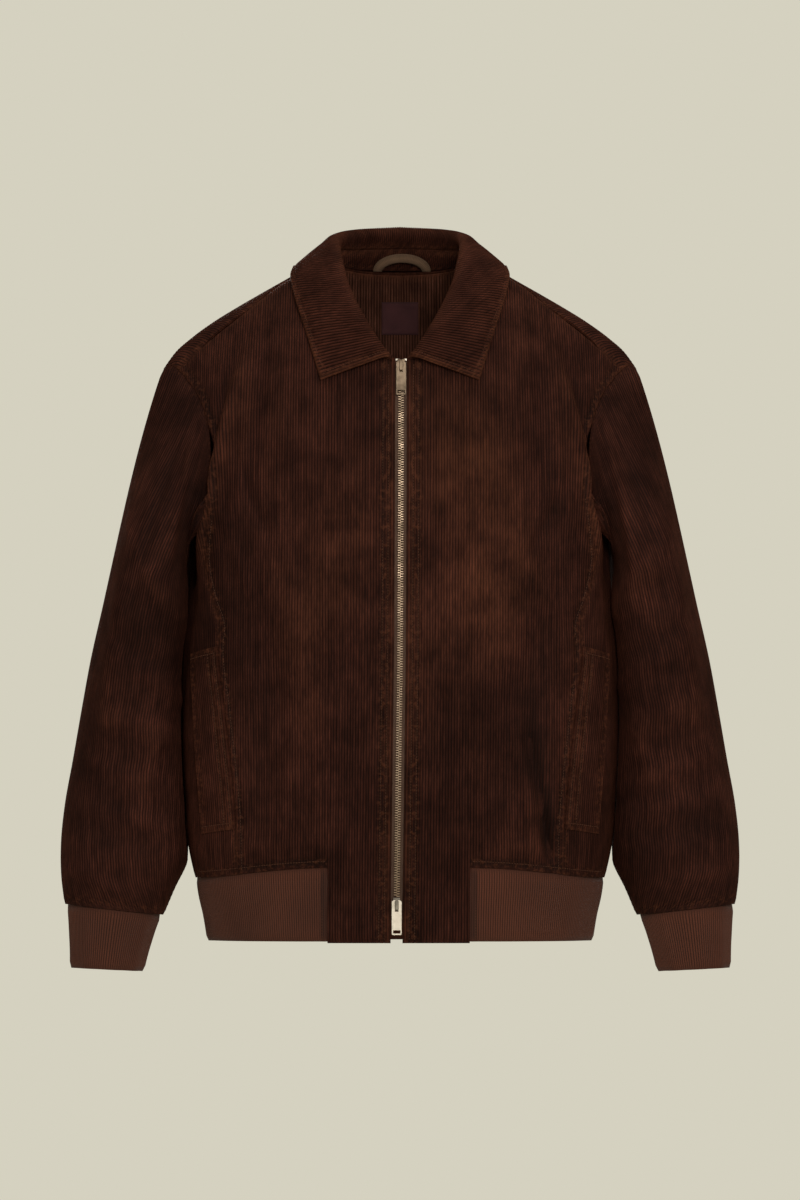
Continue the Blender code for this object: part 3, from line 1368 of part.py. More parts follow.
# ---- assembly
def clear_scene():
    """Removes all objects and meshes, and adds the collections of the garment and of its cutters."""
    for made in list(bpy.data.objects):
        bpy.data.objects.remove(made, do_unlink=True)
    for mesh in list(bpy.data.meshes):
        bpy.data.meshes.remove(mesh)
    for name in (GARMENT, CUTTERS):
        collection = bpy.data.collections.new(name)
        bpy.context.scene.collection.children.link(collection)


ARMHOLE_MITRE = make_mitres()


def main():
    """Makes every piece of the jacket."""
    clear_scene()
    for label, side in SIDES:
        make_front(f"front_{label}", side)
        make_side(f"side_{label}", side)
        make_sleeve(f"sleeve_{label}", side)
        make_cuff(f"cuff_{label}", side)
        make_welt(f"pocket_welt_{label}", side)
    make_back("back")
    make_hem_rib("hem_rib")
    make_collar()
    make_facing("back_facing")
    make_label("label")
    make_loop("hanger_loop")
    make_zip()


main()
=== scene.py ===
import bpy
import mathutils
import numpy as np
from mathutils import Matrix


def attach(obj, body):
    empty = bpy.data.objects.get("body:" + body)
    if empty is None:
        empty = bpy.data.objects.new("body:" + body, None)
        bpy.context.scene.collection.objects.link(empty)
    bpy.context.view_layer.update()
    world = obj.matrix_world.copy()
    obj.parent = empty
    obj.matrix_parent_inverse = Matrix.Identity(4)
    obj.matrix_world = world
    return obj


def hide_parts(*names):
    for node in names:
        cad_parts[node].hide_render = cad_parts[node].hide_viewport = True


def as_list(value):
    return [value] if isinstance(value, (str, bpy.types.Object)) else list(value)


bl_info = {
    "name": "Corduroy jacket",
    "version": (1, 0, 0),
    "blender": (4, 5, 0),
    "location": "3D view > Sidebar > Jacket",
    "description": "Sewn pieces, knit ribs, zip and topstitching of a corduroy jacket",
    "category": "Object",
}

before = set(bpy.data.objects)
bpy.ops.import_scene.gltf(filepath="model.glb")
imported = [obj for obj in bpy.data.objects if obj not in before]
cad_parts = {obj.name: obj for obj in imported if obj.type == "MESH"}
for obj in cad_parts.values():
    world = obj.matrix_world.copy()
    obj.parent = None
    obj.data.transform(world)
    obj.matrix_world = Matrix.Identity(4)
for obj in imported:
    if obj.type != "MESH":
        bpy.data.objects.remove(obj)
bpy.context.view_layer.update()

# ---- sizes in metres, +Z up, front to -Y, origin at the middle of the neck
CLOTH = 0.0020  # wall of corduroy
KNIT = 0.0022  # wall of the knit, without its ribs
COLLAR_CLOTH = 0.0026
SEAM_GAP = 0.0003
LAY_GAP = 0.0004
CHEST_LEVEL = -0.235
BACK_HEM = -0.6200
FRONT_HEM = -0.6095
HEM_END = -0.6835
TAB_END = -0.6850
FRONT_EDGE = 0.0059
TAB_WIDTH = 0.0715
UNDERARM = -0.2630
NECK_POINT = 0.078
SHOULDER_TIP = 0.262
SEAM_TIP = 0.247
RISE = 0.200
RIDGE_CLIMB = CHEST_LEVEL + RISE
RING_POWER = 2.3
SLEEVE_POWER = 2.15
ZIP_TOP = -0.1150
ZIP_BOTTOM = -0.6390
TAPE_END = -0.6650
TAPE_EDGES = (0.0012, 0.0140)
TAPE_DEPTH = 0.0027
TAPE_WALL = 0.0008
SLEEVE_CLEARANCE = 0.0035
SLEEVE_BEND = 0.0020
SLEEVE_HALF_ROUND = 0.19  # mean half round of a sleeve, for its folds
ROLL_RADIUS = 0.0042
ROLL_REACH = 0.0040
FACING = 0.0014
FACING_HEIGHT = 0.14
FACING_FOOT = 0.39  # its lower end, as a share of the way from the chest to the neckline
WELT = 0.0018
WELT_TOP = (-0.388, -0.396)
WELT_END = (-0.571, -0.576)
WELT_WIDTH = (0.045, 0.049)
LABEL_HEIGHTS = (-0.074, -0.041)
LABEL_HALF_WIDTH = 0.019
LABEL = 0.0005
LOOP_ENDS = (-0.027, 0.031)
LOOP_RISE = 0.0132
LOOP_TAPE = 0.0090
LOOP_THICK = 0.0010
LOOP_FORWARD = 0.0060
LOOP_GAP = 0.0010
FRONT_STITCH = (0.0125, 0.0180)  # rows along a front's folded edge
HEM_STITCH = 0.0062  # above the rib
SIDE_STITCH = 0.0060  # inside the front's side seam
TAB_STITCH = 0.0058  # inside the rib's end
COLLAR_STITCH = 0.0060
WELT_STITCH = (0.0040, 0.0125)
WELT_END_STITCH = 0.0065
COLLAR_WIDER = 1.09  # pitch of the collar's wales, as the cloth stretches over it
WALE_PROFILE = np.array((1.0, 0.80, 0.0, 0.80))  # heights at the four columns of a wale
RIB_PROFILE = np.array((1.0, 0.85, 0.0, 0.85))
ROW = 0.006  # between two rows of points along a wale
STEP = 0.002  # for slopes of a surface
SLOPE_STEP = 0.004  # for the body's lean under the chest
PUCKER = 0.002  # from a seam to the middle of its pucker
HEM_RAMP = 0.16  # round from the tab, over which the hem's seam changes its height
HEM_SHIFT = 0.15  # above the hem, over which the rows of points become level
BACK_REACH = 0.276  # half width of the back at its widest
OVERLAP_RUN = 0.0275  # longest run of the back past the ridge
FACING_FOOT_WIDTH = 0.0635  # half width of the facing's lower end
FOLD_SHADE = 0.32  # share of a fold's tone that shows on the body
FOLD_EVEN = 0.32  # from a fold's middle, as a share of its length, it keeps its rise
FOLD_END = 0.22  # and over this share past that it fades
WELD = 2e-7  # points nearer than this become one
STRIP_LEAN = (0.515, 0.857)  # sine and cosine of the wales' lean on the back's overlap

# ---- tables
# height, half width, front depth, back depth
BODY_SECTIONS = np.array((
    (-0.7, 0.19, 0.108, 0.096), (-0.683, 0.193, 0.11, 0.098), (-0.65, 0.1985, 0.113, 0.101),
    (-0.62, 0.205, 0.1165, 0.104), (-0.59, 0.2115, 0.1195, 0.106), (-0.55, 0.215, 0.1215, 0.107),
    (-0.45, 0.2185, 0.123, 0.107), (-0.38, 0.2165, 0.1225, 0.108), (-0.337, 0.212, 0.1205, 0.11),
    (-0.29, 0.209, 0.117, 0.1125), (-0.235, 0.211, 0.112, 0.114),
))
# distance from the centre, height, depth
RIDGE = np.array((
    (0.0, 0.04, 0.008), (0.04, 0.021, 0.0075), (0.078, 0.0, 0.006), (0.11, -0.0185, 0.005),
    (0.143, -0.0372, 0.004), (0.165, -0.05, 0.003), (0.189, -0.065, 0.002), (0.21, -0.0805, 0.001),
    (0.225, -0.094, 0.0), (0.238, -0.112, 0.0),
))
# distance from the centre, how far the shoulder seam lies below the ridge
SHOULDER_DROP = np.array((
    (0.078, 0.0), (0.1, 0.0004), (0.123, 0.002), (0.156, 0.01), (0.184, 0.015), (0.201, 0.018),
    (0.223, 0.0215),
))
# across, height
FRONT_NECKLINE = np.array((
    (0.0059, -0.1), (0.022, -0.096), (0.04, -0.084), (0.056, -0.065), (0.068, -0.042), (0.075, -0.02),
))
# across, height
BACK_NECKLINE = np.array((
    (0.0, -0.013), (0.02, -0.0126), (0.04, -0.0112), (0.06, -0.0075),
))
# height, distance of the front's side seam from the centre
PANEL_SEAM = np.array((
    (-0.62, 0.163), (-0.573, 0.164), (-0.45, 0.1755), (-0.39, 0.1815), (-0.365, 0.18), (-0.345, 0.1865),
    (-0.315, 0.1925), (-0.27, 0.19), (-0.235, 0.186),
))
# height, half width of the back across the cloth
BACK_PANEL = np.array((
    (-0.62, 0.18), (-0.45, 0.192), (-0.32, 0.202), (-0.235, 0.204),
))
# distance from the centre, height, from the side seam up to the shoulder seam
FRONT_ARMHOLE = np.array((
    (0.1865, -0.215), (0.1885, -0.193), (0.1915, -0.1715), (0.1965, -0.151), (0.2035, -0.135),
    (0.213, -0.122), (0.223, -0.114),
))
# across the back, share of the way from the chest to the ridge
BACK_ARMHOLE = np.array((
    (0.206, 0.12), (0.208, 0.25), (0.211, 0.39), (0.217, 0.54), (0.228, 0.7), (0.243, 0.86), (0.262, 1.0),
))
# height, inner edge, outer edge, front depth, back depth, tilt
SLEEVE_SECTIONS = np.array((
    (-0.315, 0.205, 0.289, 0.069, 0.08, 0.15), (-0.353, 0.2075, 0.2973, 0.067, 0.085, 0.15),
    (-0.409, 0.211, 0.3098, 0.062, 0.088, 0.15), (-0.46, 0.211, 0.319, 0.058, 0.086, 0.15),
    (-0.511, 0.208, 0.3278, 0.056, 0.081, 0.14), (-0.556, 0.2065, 0.3358, 0.057, 0.071, 0.13),
    (-0.592, 0.211, 0.3395, 0.057, 0.061, 0.12), (-0.625, 0.226, 0.3392, 0.055, 0.047, 0.11),
    (-0.652, 0.237, 0.3358, 0.052, 0.033, 0.11),
))
# height, inner edge, outer edge, front depth, back depth, tilt
CUFF_SECTIONS = np.array((
    (-0.6524, 0.2402, 0.3334, 0.0505, 0.0315, 0.11), (-0.668, 0.2465, 0.3312, 0.048, 0.029, 0.08),
    (-0.7122, 0.258, 0.3304, 0.045, 0.023, 0.05),
))
# share of the half sleeve from its outer line, share of the half armhole from the tip
SLEEVE_SHARE = np.array((
    (0.0, 0.0), (0.25, 0.12), (0.5, 0.27), (0.75, 0.52), (0.88, 0.72), (1.0, 1.0),
))
# Folds of the body: side (1 at +X, -1 at -X), then two ends as distance round from the centre front and
# height, then half width and rise. A negative rise is a trough.
BODY_FOLDS = (
    (-1, 0.172, -0.15, 0.216, -0.3, 0.016, 0.005), (1, 0.174, -0.16, 0.214, -0.31, 0.016, 0.0045),
    (-1, 0.246, -0.236, 0.25, -0.33, 0.016, -0.007), (1, 0.246, -0.24, 0.248, -0.32, 0.016, -0.0065),
    (-1, 0.13, -0.3, 0.085, -0.47, 0.022, 0.0028), (1, 0.085, -0.185, 0.12, -0.33, 0.024, 0.003),
    (1, 0.12, -0.4, 0.1, -0.56, 0.02, -0.0026), (-1, 0.06, -0.38, 0.055, -0.56, 0.018, -0.0022),
    (-1, 0.4, -0.28, 0.38, -0.5, 0.024, 0.0035), (1, 0.395, -0.26, 0.375, -0.52, 0.024, 0.003),
    (-1, 0.47, -0.3, 0.46, -0.56, 0.022, -0.003), (1, 0.465, -0.34, 0.47, -0.58, 0.022, -0.0028),
)
# Folds of a sleeve: side, then two ends as share round from the outer line (front positive) and height,
# then half width and rise.
SLEEVE_FOLDS = (
    (1, 0.42, -0.3, 0.8, -0.36, 0.016, 0.004), (-1, 0.4, -0.31, 0.8, -0.37, 0.016, 0.004),
    (1, 0.3, -0.44, 0.72, -0.48, 0.015, 0.003), (-1, 0.34, -0.455, 0.7, -0.485, 0.015, 0.003),
    (1, 0.2, -0.56, 0.62, -0.58, 0.014, -0.003), (-1, 0.24, -0.565, 0.6, -0.59, 0.014, -0.003),
    (1, -0.3, -0.42, -0.7, -0.47, 0.016, 0.003), (-1, -0.3, -0.43, -0.7, -0.46, 0.016, 0.003),
)
# The collar along the neckline, from the front end (share 0) to the centre back (share 1).
# share, distance from the centre, depth, height
COLLAR_ROLL = np.array((
    (0.0, 0.0105, -0.0965, -0.0975), (0.1, 0.02, -0.0935, -0.084), (0.25, 0.034, -0.085, -0.062),
    (0.42, 0.047, -0.067, -0.037), (0.5, 0.053, -0.055, -0.023), (0.6, 0.0595, -0.029, 0.003),
    (0.68, 0.062, -0.004, 0.0185), (0.78, 0.058, 0.024, 0.0255), (0.88, 0.042, 0.046, 0.0294),
    (1.0, 0.0, 0.059, 0.032),
))
# share, distance from the centre, height, how far the edge stands off the body
COLLAR_EDGE = np.array((
    (0.0, 0.079, -0.123, 0.005), (0.1, 0.086, -0.1, 0.005), (0.25, 0.0955, -0.069, 0.005),
    (0.42, 0.104, -0.04, 0.0075), (0.5, 0.1065, -0.025, 0.009),
))
# share, distance from the centre, depth, height
COLLAR_BACK_EDGE = np.array((
    (0.6, 0.108, 0.004, -0.009), (0.68, 0.107, 0.033, -0.013), (0.78, 0.095, 0.062, -0.024),
    (0.88, 0.068, 0.082, -0.033), (1.0, 0.0, 0.094, -0.037),
))
# share, height of the stand, how far the leaf bulges
COLLAR_FORM = np.array((
    (0.0, 0.007, 0.0015), (0.25, 0.009, 0.004), (0.5, 0.012, 0.005), (0.7, 0.02, 0.004),
    (1.0, 0.026, 0.003),
))
# Finer creases of the body, in the same columns as its folds, and of the sleeves.
BODY_CREASES = (
    (1, 0.13, -0.466, 0.156, -0.594, 0.0075, -0.006), (1, 0.114, -0.47, 0.142, -0.59, 0.0085, 0.0034),
    (1, 0.149, -0.556, 0.157, -0.6, 0.004, -0.004), (-1, 0.164, -0.135, 0.226, -0.305, 0.0055, 0.0042),
    (-1, 0.18, -0.145, 0.24, -0.3, 0.0085, -0.0052), (1, 0.168, -0.14, 0.222, -0.3, 0.0055, 0.0036),
    (1, 0.184, -0.15, 0.238, -0.295, 0.0085, -0.0046), (-1, 0.14, -0.12, 0.15, -0.21, 0.01, -0.002),
    (1, 0.142, -0.125, 0.15, -0.22, 0.01, -0.002), (1, 0.138, -0.56, 0.152, -0.596, 0.0045, -0.0034),
    (1, 0.05, -0.21, 0.12, -0.42, 0.03, 0.004), (-1, 0.04, -0.23, 0.1, -0.4, 0.028, 0.003),
    (1, 0.15, -0.35, 0.12, -0.54, 0.018, -0.0034), (-1, 0.13, -0.42, 0.15, -0.58, 0.016, -0.0028),
    (-1, 0.15, -0.17, 0.176, -0.262, 0.007, 0.0022), (-1, 0.168, -0.208, 0.132, -0.282, 0.006, -0.0018),
    (-1, 0.196, -0.236, 0.15, -0.342, 0.008, 0.0016), (1, 0.156, -0.182, 0.18, -0.272, 0.007, 0.002),
    (1, 0.172, -0.226, 0.128, -0.3, 0.006, -0.0017), (1, 0.11, -0.23, 0.15, -0.36, 0.009, 0.0014),
    (-1, 0.03, -0.25, 0.06, -0.34, 0.01, 0.001), (-1, 0.075, -0.47, 0.11, -0.56, 0.009, -0.0013),
    (1, 0.04, -0.43, 0.07, -0.545, 0.01, -0.0012), (1, 0.15, -0.33, 0.185, -0.42, 0.008, 0.0012),
    (-1, 0.16, -0.4, 0.12, -0.5, 0.009, 0.0012), (-1, 0.1, -0.585, 0.18, -0.59, 0.006, 0.0011),
    (1, 0.09, -0.588, 0.17, -0.592, 0.006, 0.0012), (-1, 0.25, -0.57, 0.36, -0.585, 0.008, 0.0014),
    (1, 0.262, -0.565, 0.372, -0.588, 0.008, 0.0013), (-1, 0.23, -0.33, 0.262, -0.45, 0.009, -0.0016),
    (1, 0.236, -0.345, 0.258, -0.47, 0.009, -0.0014), (-1, 0.42, -0.32, 0.35, -0.39, 0.01, 0.0016),
    (1, 0.41, -0.3, 0.352, -0.372, 0.009, 0.0014), (1, 0.44, -0.5, 0.4, -0.58, 0.01, -0.0014),
    (-1, 0.45, -0.48, 0.41, -0.57, 0.009, -0.0015), (-1, 0.366, -0.19, 0.35, -0.28, 0.009, 0.0017),
    (1, 0.362, -0.2, 0.346, -0.29, 0.009, 0.0016),
)
SLEEVE_CREASES = (
    (1, 0.78, -0.225, 0.8, -0.32, 0.036, -0.0052), (-1, 0.78, -0.225, 0.8, -0.32, 0.036, -0.0052),
    (-1, 0.56, -0.18, 0.61, -0.3, 0.008, 0.0036), (-1, 0.43, -0.19, 0.4, -0.34, 0.011, -0.0034),
    (-1, 0.84, -0.2, 0.85, -0.3, 0.01, -0.0036), (1, 0.54, -0.175, 0.6, -0.31, 0.008, 0.0034),
    (1, 0.42, -0.2, 0.38, -0.35, 0.011, -0.0032), (1, 0.85, -0.2, 0.85, -0.31, 0.01, -0.0036),
    (-1, 0.26, -0.33, 0.34, -0.48, 0.013, 0.003), (1, 0.28, -0.32, 0.32, -0.47, 0.013, 0.003),
    (-1, 0.6, -0.47, 0.52, -0.6, 0.012, 0.003), (1, 0.62, -0.48, 0.5, -0.61, 0.012, 0.0028),
    (1, 0.1, -0.245, 0.46, -0.315, 0.008, 0.0016), (1, 0.16, -0.35, 0.66, -0.398, 0.008, -0.002),
    (1, 0.44, -0.4, 0.86, -0.432, 0.007, 0.0019), (1, 0.2, -0.492, 0.6, -0.52, 0.008, 0.0018),
    (1, 0.36, -0.528, 0.84, -0.548, 0.007, -0.0016), (1, 0.1, -0.602, 0.54, -0.628, 0.007, 0.0018),
    (-1, 0.12, -0.252, 0.48, -0.322, 0.008, 0.0017), (-1, 0.14, -0.362, 0.62, -0.41, 0.008, -0.0019),
    (-1, 0.46, -0.412, 0.86, -0.446, 0.007, 0.0018), (-1, 0.22, -0.5, 0.64, -0.532, 0.008, 0.0017),
    (-1, 0.3, -0.54, 0.8, -0.56, 0.007, -0.0015), (-1, 0.12, -0.608, 0.5, -0.632, 0.007, 0.0018),
    (1, -0.2, -0.36, -0.62, -0.4, 0.009, 0.0018), (1, -0.4, -0.45, -0.84, -0.5, 0.008, -0.0018),
    (1, -0.16, -0.54, -0.56, -0.58, 0.009, 0.0016), (-1, -0.22, -0.35, -0.6, -0.396, 0.009, 0.0017),
    (-1, -0.42, -0.462, -0.82, -0.508, 0.008, -0.0017), (-1, -0.18, -0.552, -0.52, -0.59, 0.009, 0.0016),
)
# Spots of lighter nap where the amount is positive, and painted shade where it is negative: side, distance
# round from the centre front, height, half sizes, amount.
SPOTS_LIGHTER_AND_SHADED = (
    (1, 0.06, -0.22, 0.048, 0.045, 0.4), (1, 0.085, -0.33, 0.055, 0.055, 0.32),
    (1, 0.035, -0.4, 0.04, 0.07, 0.2), (1, 0.13, -0.13, 0.04, 0.05, 0.16),
    (-1, 0.06, -0.3, 0.05, 0.12, 0.12), (1, 0.12, -0.39, 0.035, 0.07, -0.14),
    (1, 0.137, -0.5, 0.013, 0.045, -0.65), (1, 0.152, -0.568, 0.008, 0.036, -0.85),
    (-1, 0.15, -0.42, 0.04, 0.12, -0.2), (-1, 0.175, -0.26, 0.03, 0.06, -0.22),
    (1, 0.175, -0.27, 0.03, 0.06, -0.2), (-1, 0.14, -0.18, 0.035, 0.08, 0.14),
    (-1, 0.11, -0.08, 0.06, 0.035, 0.16), (1, 0.12, -0.08, 0.06, 0.035, 0.12),
    (-1, 0.08, -0.5, 0.06, 0.07, 0.1), (1, 0.1, -0.52, 0.06, 0.08, 0.12),
)


# ---- curves, rings and surfaces
def curve(knots, values, at):
    """Smooth curve through the values at the knots: cubic pieces whose slopes are the mean ones."""
    slopes = np.gradient(values, knots)
    at = np.clip(at, knots[0], knots[-1])
    i = np.clip(np.searchsorted(knots, at) - 1, 0, len(knots) - 2)
    step = knots[i + 1] - knots[i]
    f = (at - knots[i]) / step
    rise = values[i + 1] - values[i]
    hermite = f * f * (3 - 2 * f) * rise
    entry = f * (1 - f) * (1 - f) * slopes[i] * step
    leave = f * f * (1 - f) * slopes[i + 1] * step
    return values[i] + hermite + entry - leave


def column_of(table, index, at):
    """One column of a table at the given value of its first column."""
    rows = table[np.argsort(table[:, 0])]
    return curve(rows[:, 0], rows[:, index], at)


def unit(vectors):
    """The vectors at length 1."""
    return vectors / np.maximum(np.linalg.norm(vectors, axis=-1, keepdims=True), 1e-12)


def xyz(*parts):
    """Coordinates put together as points."""
    return np.stack(parts, axis=-1)


def run_along(points, axis=0):
    """Distance along lines of points: the lengths of their steps added up, from 0."""
    steps = np.linalg.norm(np.diff(points, axis=axis), axis=-1)
    return np.insert(steps.cumsum(axis=axis), 0, 0, axis=axis)


def on_line(points, run, at):
    """Points of a line at given distances along it."""
    return xyz(*(np.interp(at, run, points[:, k]) for k in range(3)))


def least(*distances):
    """The smallest of several distances at each point."""
    return np.minimum.reduce(distances)


def make_rings(levels, steps):
    """Rings of the body as tables: half length at each level, and x and y at even steps along it."""
    width, front, back = (column_of(BODY_SECTIONS, k, levels)[:, None] for k in (1, 2, 3))
    turn = np.linspace(0, np.pi, 1441)[None, :]
    x = width * np.sin(turn) ** (2 / RING_POWER)
    toward = np.cos(turn)
    y = -np.where(toward > 0, front, back) * np.sign(toward) * np.abs(toward) ** (2 / RING_POWER)
    x[:, -1] = 0
    run = np.hypot(np.diff(x, axis=1), np.diff(y, axis=1)).cumsum(axis=1)
    run = np.insert(run, 0, 0, axis=1)
    share = np.linspace(0, 1, steps)
    even_x, even_y = (np.array([np.interp(share * r[-1], r, row) for r, row in zip(run, k)]) for k in (x, y))
    return run[:, -1], even_x, even_y


LEVELS = np.linspace(BODY_SECTIONS[0, 0], CHEST_LEVEL, 160)
RING_STEPS = 601
HALF_LENGTH, RING_X, RING_Y = make_rings(LEVELS, RING_STEPS)


def half_length(height):
    """Length of half the body's ring at a height."""
    return np.interp(height, LEVELS, HALF_LENGTH)


def ring_point(run, height):
    """Plain body point at a distance round from the centre front, on the +X half."""
    along = np.clip(run / half_length(height), 0, 1) * (RING_STEPS - 1)
    i = np.minimum(along.astype(int), RING_STEPS - 2)
    level = np.clip((height - LEVELS[0]) / (LEVELS[1] - LEVELS[0]), 0, len(LEVELS) - 1.001)
    k = level.astype(int)
    fi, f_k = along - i, level - k

    def read(grid):
        low = grid[k, i] * (1 - fi) + grid[k, i + 1] * fi
        high = grid[k + 1, i] * (1 - fi) + grid[k + 1, i + 1] * fi
        return low * (1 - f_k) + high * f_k

    return xyz(read(RING_X), read(RING_Y), height)


def ridge_point(across):
    """Point of the shoulder ridge for a column of the cloth."""
    scale = (RIDGE[-1, 0] - NECK_POINT) / (SHOULDER_TIP - NECK_POINT)
    x = np.where(across < NECK_POINT, across, NECK_POINT + (across - NECK_POINT) * scale)
    return xyz(x, column_of(RIDGE, 2, x), column_of(RIDGE, 1, x))


def plain_half(across, height, back):
    """Plain point of the front or the back on the +X half: a ring below the chest, an arc above it.

    The arc is a Bezier curve from the chest, in the lean that the rings have there, level to the ridge.
    """
    level = lambda at: ring_point(half_length(at) - across if back else across, at)
    chest = np.full_like(height, CHEST_LEVEL)
    start = level(chest)
    lean = (start - level(chest - SLOPE_STEP)) / SLOPE_STEP
    end = ridge_point(across)
    first = start + lean * (end[..., 2] - CHEST_LEVEL)[..., None] * 0.5
    last = end.copy()
    last[..., 1] += np.abs(end[..., 1] - start[..., 1]) * (0.55 if back else -0.5)
    w = np.clip((height - CHEST_LEVEL) / RISE, 0, 1)[..., None]
    arc = (1 - w) ** 3 * start + 3 * w * (1 - w) ** 2 * first + 3 * w**2 * (1 - w) * last + w**3 * end
    return np.where((height > CHEST_LEVEL)[..., None], arc, level(np.minimum(height, CHEST_LEVEL)))


def fold_rise(table, side, along, height, scale=1.0):
    """Sum of soft ridges and troughs at pattern positions, each fading at its two ends."""
    total = np.zeros_like(along)
    for fold_side, a0, t0, a1, t1, half_width, rise in table:
        span = np.hypot((a1 - a0) * scale, t1 - t0)
        ua, ut = (a1 - a0) * scale / span, (t1 - t0) / span
        da, dt = (along - a0) * scale, height - t0
        past = np.maximum(np.abs((da * ua + dt * ut) / span - 0.5) - FOLD_EVEN, 0)
        aside = (da * ut - dt * ua) / half_width
        ends = np.exp(-((past / FOLD_END) ** 2))
        total += np.where(side == fold_side, rise * np.exp(-aside * aside) * ends, 0)
    return total


def zip_drift(height):
    """How far the zip swings to the side on its way down."""
    return np.interp(height, (-0.66, -0.40, -0.10), (-0.0035, 0.0, 0.0015))


def surface_normal(surface, across, height):
    """Outward unit normal of a surface of the body, from its slopes."""
    over = surface(across + STEP, height) - surface(across - STEP, height)
    up = surface(across, height + STEP) - surface(across, height - STEP)
    return unit(np.cross(over, up))


def plain_front(across, height):
    """Front without folds at a signed distance across from the centre front."""
    point = plain_half(np.abs(across), height, back=False)
    point[..., 0] *= np.where(across < 0, -1.0, 1.0)
    point[..., 0] += zip_drift(height) * np.exp(-((across / 0.075) ** 2))
    return point


def plain_back(across, height):
    """Back without folds at a signed distance across from the centre back."""
    point = plain_half(np.abs(across), height, back=True)
    point[..., 0] *= np.where(across < 0, -1.0, 1.0)
    return point


def front(across, height):
    """Folded front at a signed distance across from the centre front."""
    across, height = np.broadcast_arrays(np.asarray(across, float), np.asarray(height, float))
    rise = fold_rise(BODY_FOLDS, np.where(across < 0, -1, 1), np.abs(across), height)
    return plain_front(across, height) + surface_normal(plain_front, across, height) * rise[..., None]


def back(across, height):
    """Folded back at a signed distance across from the centre back."""
    across, height = np.broadcast_arrays(np.asarray(across, float), np.asarray(height, float))
    run = half_length(np.minimum(height, CHEST_LEVEL)) - np.abs(across)
    rise = fold_rise(BODY_FOLDS, np.where(across < 0, -1, 1), run, height)
    return plain_back(across, height) - surface_normal(plain_back, across, height) * rise[..., None]


def front_normal(across, height):
    """Outward normal of the front."""
    return surface_normal(front, across, height)


def back_normal(across, height):
    """Outward normal of the back, whose distance across runs the other way round the body."""
    return -surface_normal(back, across, height)


def run_at(distance, height):
    """Distance round the front of the ring to the point that lies this far from the centre."""
    runs = np.linspace(0, 0.5, 2001)
    half_width = column_of(BODY_SECTIONS, 1, height)
    found = []
    for wanted, level, limit in zip(np.ravel(distance), np.ravel(height), np.ravel(half_width)):
        x = ring_point(runs * half_length(level), np.full_like(runs, level))[:, 0]
        found.append(np.interp(min(wanted, limit), x, runs * half_length(level)))
    return np.reshape(found, np.shape(distance))


def place_on_front(distance, height):
    """Pattern position of the front's point with this distance from the centre and this height."""
    across = np.array(distance, float)
    climb = np.array(height, float)
    for _ in range(40):
        point = plain_front(across, climb)
        ahead = plain_front(across, climb + STEP)
        slope = np.maximum((ahead[..., 2] - point[..., 2]) / STEP, 0.15)
        across = across + 0.8 * (distance - point[..., 0])
        climb = np.clip(climb + 0.8 * (height - point[..., 2]) / slope, -0.70, CHEST_LEVEL + RISE)
    return across, climb


def climb_to_height(surface, across, height):
    """Height coordinates at which columns of the cloth reach the heights given for them."""
    climbs = np.linspace(CHEST_LEVEL, CHEST_LEVEL + RISE, 801)
    read = lambda a, wanted: np.interp(wanted, surface(np.full_like(climbs, a), climbs)[:, 2], climbs)
    return np.array([read(a, wanted) for a, wanted in zip(across, height)])


def climb_to_seam(across):
    """Height coordinates at which columns of the front reach the shoulder seam."""
    over_seam = lambda a, c: plain_front(a, c) - xyz(0 * a, 0 * a, seam_height(plain_front(a, c)[:, 0]))
    return climb_to_height(over_seam, across, np.zeros(len(across)))


def seam_height(x):
    """Height of the shoulder seam at a distance from the centre."""
    x = np.abs(x)
    return column_of(RIDGE, 1, x) - column_of(SHOULDER_DROP, 1, x)


def hem_height(run):
    """Height of the seam of body and rib at a distance round from the centre front."""
    f = np.clip((np.abs(run) - TAB_WIDTH) / HEM_RAMP, 0, 1)
    return FRONT_HEM + (BACK_HEM - FRONT_HEM) * f * f * (3 - 2 * f)


def underarm_height(share):
    """Height of the side panel's top edge at a share of its width."""
    return UNDERARM + (CHEST_LEVEL - UNDERARM) * np.abs(2 * share - 1) ** 2.4


def body_reach(depth, height):
    """Distance of the body's side from its middle at a depth and a height."""
    reach = np.where(depth < 0, column_of(BODY_SECTIONS, 2, height), column_of(BODY_SECTIONS, 3, height))
    share = np.clip(np.abs(depth) / reach, 0, 1)
    return column_of(BODY_SECTIONS, 1, height) * (1 - share**RING_POWER) ** (1 / RING_POWER)


def sleeve_ring(share, height, side, sections=SLEEVE_SECTIONS):
    """Plain point of a sleeve at a share round from its outer line, front positive."""
    inner, outer, front_depth, back_depth, tilt = (column_of(sections, k, height) for k in range(1, 6))
    cos, sin = np.cos(share * np.pi), np.sin(share * np.pi)
    middle, half = (inner + outer) / 2, (outer - inner) / 2
    depth_middle, depth_half = (back_depth - front_depth) / 2, (back_depth + front_depth) / 2
    flat = 2 / SLEEVE_POWER
    x = middle + half * np.sign(cos) * np.abs(cos) ** flat
    y = depth_middle - depth_half * np.sign(sin) * np.abs(sin) ** flat
    level = height + tilt * (x - middle)
    short = body_reach(y, level) + SLEEVE_CLEARANCE - x
    x = x + 0.5 * (short + np.hypot(short, SLEEVE_BEND))
    return xyz(side * x, y, level)


def sleeve_tangent(share, side):
    """Direction in which the sleeve leaves the armhole."""
    turn = share * np.pi
    x = side * (0.30 + 0.03 * np.cos(turn) ** 2 * (np.abs(share) < 0.5))
    return unit(xyz(x, -0.38 * np.sin(turn), np.full_like(turn, -0.95)))


